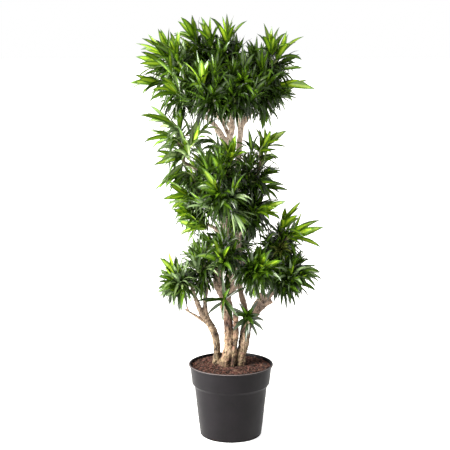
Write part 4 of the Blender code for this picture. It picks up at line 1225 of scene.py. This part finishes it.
def roughen(mesh, axis):
    """Moves the skin in and out along its normals, more on thicker wood, and keeps how far as an attribute."""
    count = len(mesh.vertices)
    places = np.empty(count * 3, dtype=np.float32)
    mesh.vertices.foreach_get("co", places)
    places = places.reshape(-1, 3)
    normals = np.empty(count * 3, dtype=np.float32)
    mesh.vertex_normals.foreach_get("vector", normals)
    normals = normals.reshape(-1, 3)
    pushes = np.array([bark_push(Vector(place)) for place in places], dtype=np.float32)
    radii = np.empty(count, dtype=np.float32)
    for first in range(0, count, 4096):
        block = places[first:first + 4096]
        gaps = ((block[:, None, :] - axis[None, :, :3]) ** 2).sum(axis=2)
        radii[first:first + 4096] = axis[np.argmin(gaps, axis=1), 3]
    moved = places + normals * (pushes * np.minimum(radii, THICKEST))[:, None]
    mesh.vertices.foreach_set("co", moved.ravel())
    relief = mesh.attributes.new("relief", "FLOAT", "POINT")
    relief.data.foreach_set("value", np.clip(0.5 + pushes * 1.6, 0.0, 1.0).astype(np.float32))
    mesh.update()


TWIG_COLOURS = (sun(112, 98, 74), sun(150, 164, 100))


def green_faces():
    """For each face of a twig's tube, 1 where the wood is still green and 0 elsewhere."""
    faces = []
    for ring in range(TWIG_RINGS - 1):
        faces += [int(ring / (TWIG_RINGS - 1) > GREEN_WOOD)] * TWIG_SIDES
    return faces + [0, 1] * TWIG_SIDES


def make_crown(limbs):
    """Twigs and leaves of every mass, as one leaves object and one twigs object for each mass."""
    materials = []
    for tone, (stripe, margin) in LEAF_TONES.items():
        materials.append(leaf_material("leaf_" + tone + "_stripe", stripe))
        materials.append(leaf_material("leaf_" + tone + "_margin", margin))
    woods = (twig_material("twig_wood_finish", TWIG_COLOURS[0]), twig_material("twig_green_finish", TWIG_COLOURS[1]))
    total = 0
    for number, name in enumerate(CROWN):
        walls, stem, shoots = grow_shoots(name, number)
        chance = random.Random(SEED * 7 + number)
        leaves = []
        for shoot in shoots:
            leaves.extend(leaves_of_shoot(CROWN[name], walls, shoot, limbs, chance))
        total += len(leaves)
        foliage = link(name + "_leaves", leaves_mesh(name + "_leaves", leaves))
        for made in materials:
            foliage.data.materials.append(made)
        shapes = [tube_arrays(stem, 8)] + [tube_arrays(shoot.path, TWIG_SIDES) for shoot in shoots]
        twigs = link(name + "_twigs", plain_mesh(name + "_twigs", *join_shapes(shapes)))
        twigs.data.shade_smooth()
        for wood in woods:
            twigs.data.materials.append(wood)
        green = [0] * len(tube_arrays(stem, 8)[1])
        for shoot in shoots:
            green += green_faces()
        twigs.data.polygons.foreach_set("material_index", green)
        for piece, slot in ((foliage, "foliage"), (twigs, "stem_bark")):
            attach(piece, "root")
            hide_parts(name)
        print(name, len(shoots), "shoots", len(leaves), "leaves")
    print("leaves in all", total)


def limb_tree(paths):
    """One search tree of all limbs."""
    points, faces = join_shapes([tube_arrays(path, 8) for path in paths.values()])
    return BVHTree.FromPolygons(points, tidy_faces(faces))


def make_stage():
    """A pale floor, soft lights, a white studio and the camera."""
    floor_mesh = bpy.data.meshes.new("floor")
    reach = FLOOR_REACH
    floor_mesh.from_pydata([(-reach, -reach, 0), (reach, -reach, 0), (reach, reach, 0), (-reach, reach, 0)],
                           [], [(0, 1, 2, 3)])
    floor = link("floor", floor_mesh)
    floor_mesh.materials.append(new_material("floor_finish", FLOOR_WHITE, 0.9)[0])
    glow = floor_mesh.materials[0].node_tree.nodes["Principled BSDF"]
    glow.inputs["Emission Color"].default_value = (*FLOOR_WHITE, 1.0)
    glow.inputs["Emission Strength"].default_value = FLOOR_GLOW
    world = bpy.data.worlds.new("studio")
    bpy.context.scene.world = world
    world.use_nodes = True
    tree = world.node_tree
    place = tree.nodes.new("ShaderNodeTexCoord")
    split = tree.nodes.new("ShaderNodeSeparateXYZ")
    tree.links.new(place.outputs["Generated"], split.inputs["Vector"])
    walls = add_ramp(tree, split.outputs["Z"], STUDIO_WALLS)
    tree.links.new(walls, tree.nodes["Background"].inputs["Color"])
    lamp = bpy.data.lights.new("key", "SUN")
    lamp.energy = KEY_POWER
    lamp.color = KEY_COLOUR
    lamp.angle = KEY_ANGLE
    key = link("key", lamp)
    key.rotation_euler = Vector(KEY_WAY).to_track_quat("Z", "Y").to_euler()
    side = bpy.data.lights.new("side", "AREA")
    side.shape = "RECTANGLE"
    side.size, side.size_y = SIDE_SIZE
    side.energy = SIDE_POWER
    panel = link("side", side)
    panel.location = SIDE_PLACE
    panel.rotation_euler = (Vector(SIDE_PLACE) - Vector(SIDE_AIM)).to_track_quat("Z", "Y").to_euler()
    camera = bpy.data.cameras.new("camera")
    camera.lens = CAMERA_LENS
    camera.sensor_width = SENSOR
    holder = bpy.data.objects.new("camera", camera)
    holder.location = CAMERA_PLACE
    holder.rotation_euler = (math.pi / 2 - CAMERA_PITCH, 0.0, 0.0)
    bpy.context.scene.collection.objects.link(holder)
    bpy.context.scene.camera = holder
    bpy.context.scene.view_settings.view_transform = "Standard"


FLOOR_REACH = 60.0
FLOOR_WHITE = (0.96, 0.96, 0.96)
# The floor is lit through a little from below, as on a light table
FLOOR_GLOW = 0.85
# The studio's walls are white up to a height and dimmer above
STUDIO_WALLS = ((0.14, (1.0, 1.0, 1.0)), (0.36, (0.40, 0.40, 0.40)))
KEY_WAY = (-1.00, -0.60, 0.80)
KEY_POWER = 5.2
KEY_COLOUR = (1.0, 0.96, 0.87)
KEY_ANGLE = math.radians(32)
# A soft panel at the plant's left
SIDE_PLACE = (-2.3, -1.1, 0.75)
SIDE_AIM = (0.0, 0.0, 0.70)
SIDE_SIZE = (0.9, 1.7)
SIDE_POWER = 150.0

make_stage()
limb_paths = limb_splines()
make_pot()
make_soil()
make_bark(limb_paths)
make_crown(limb_tree(limb_paths))
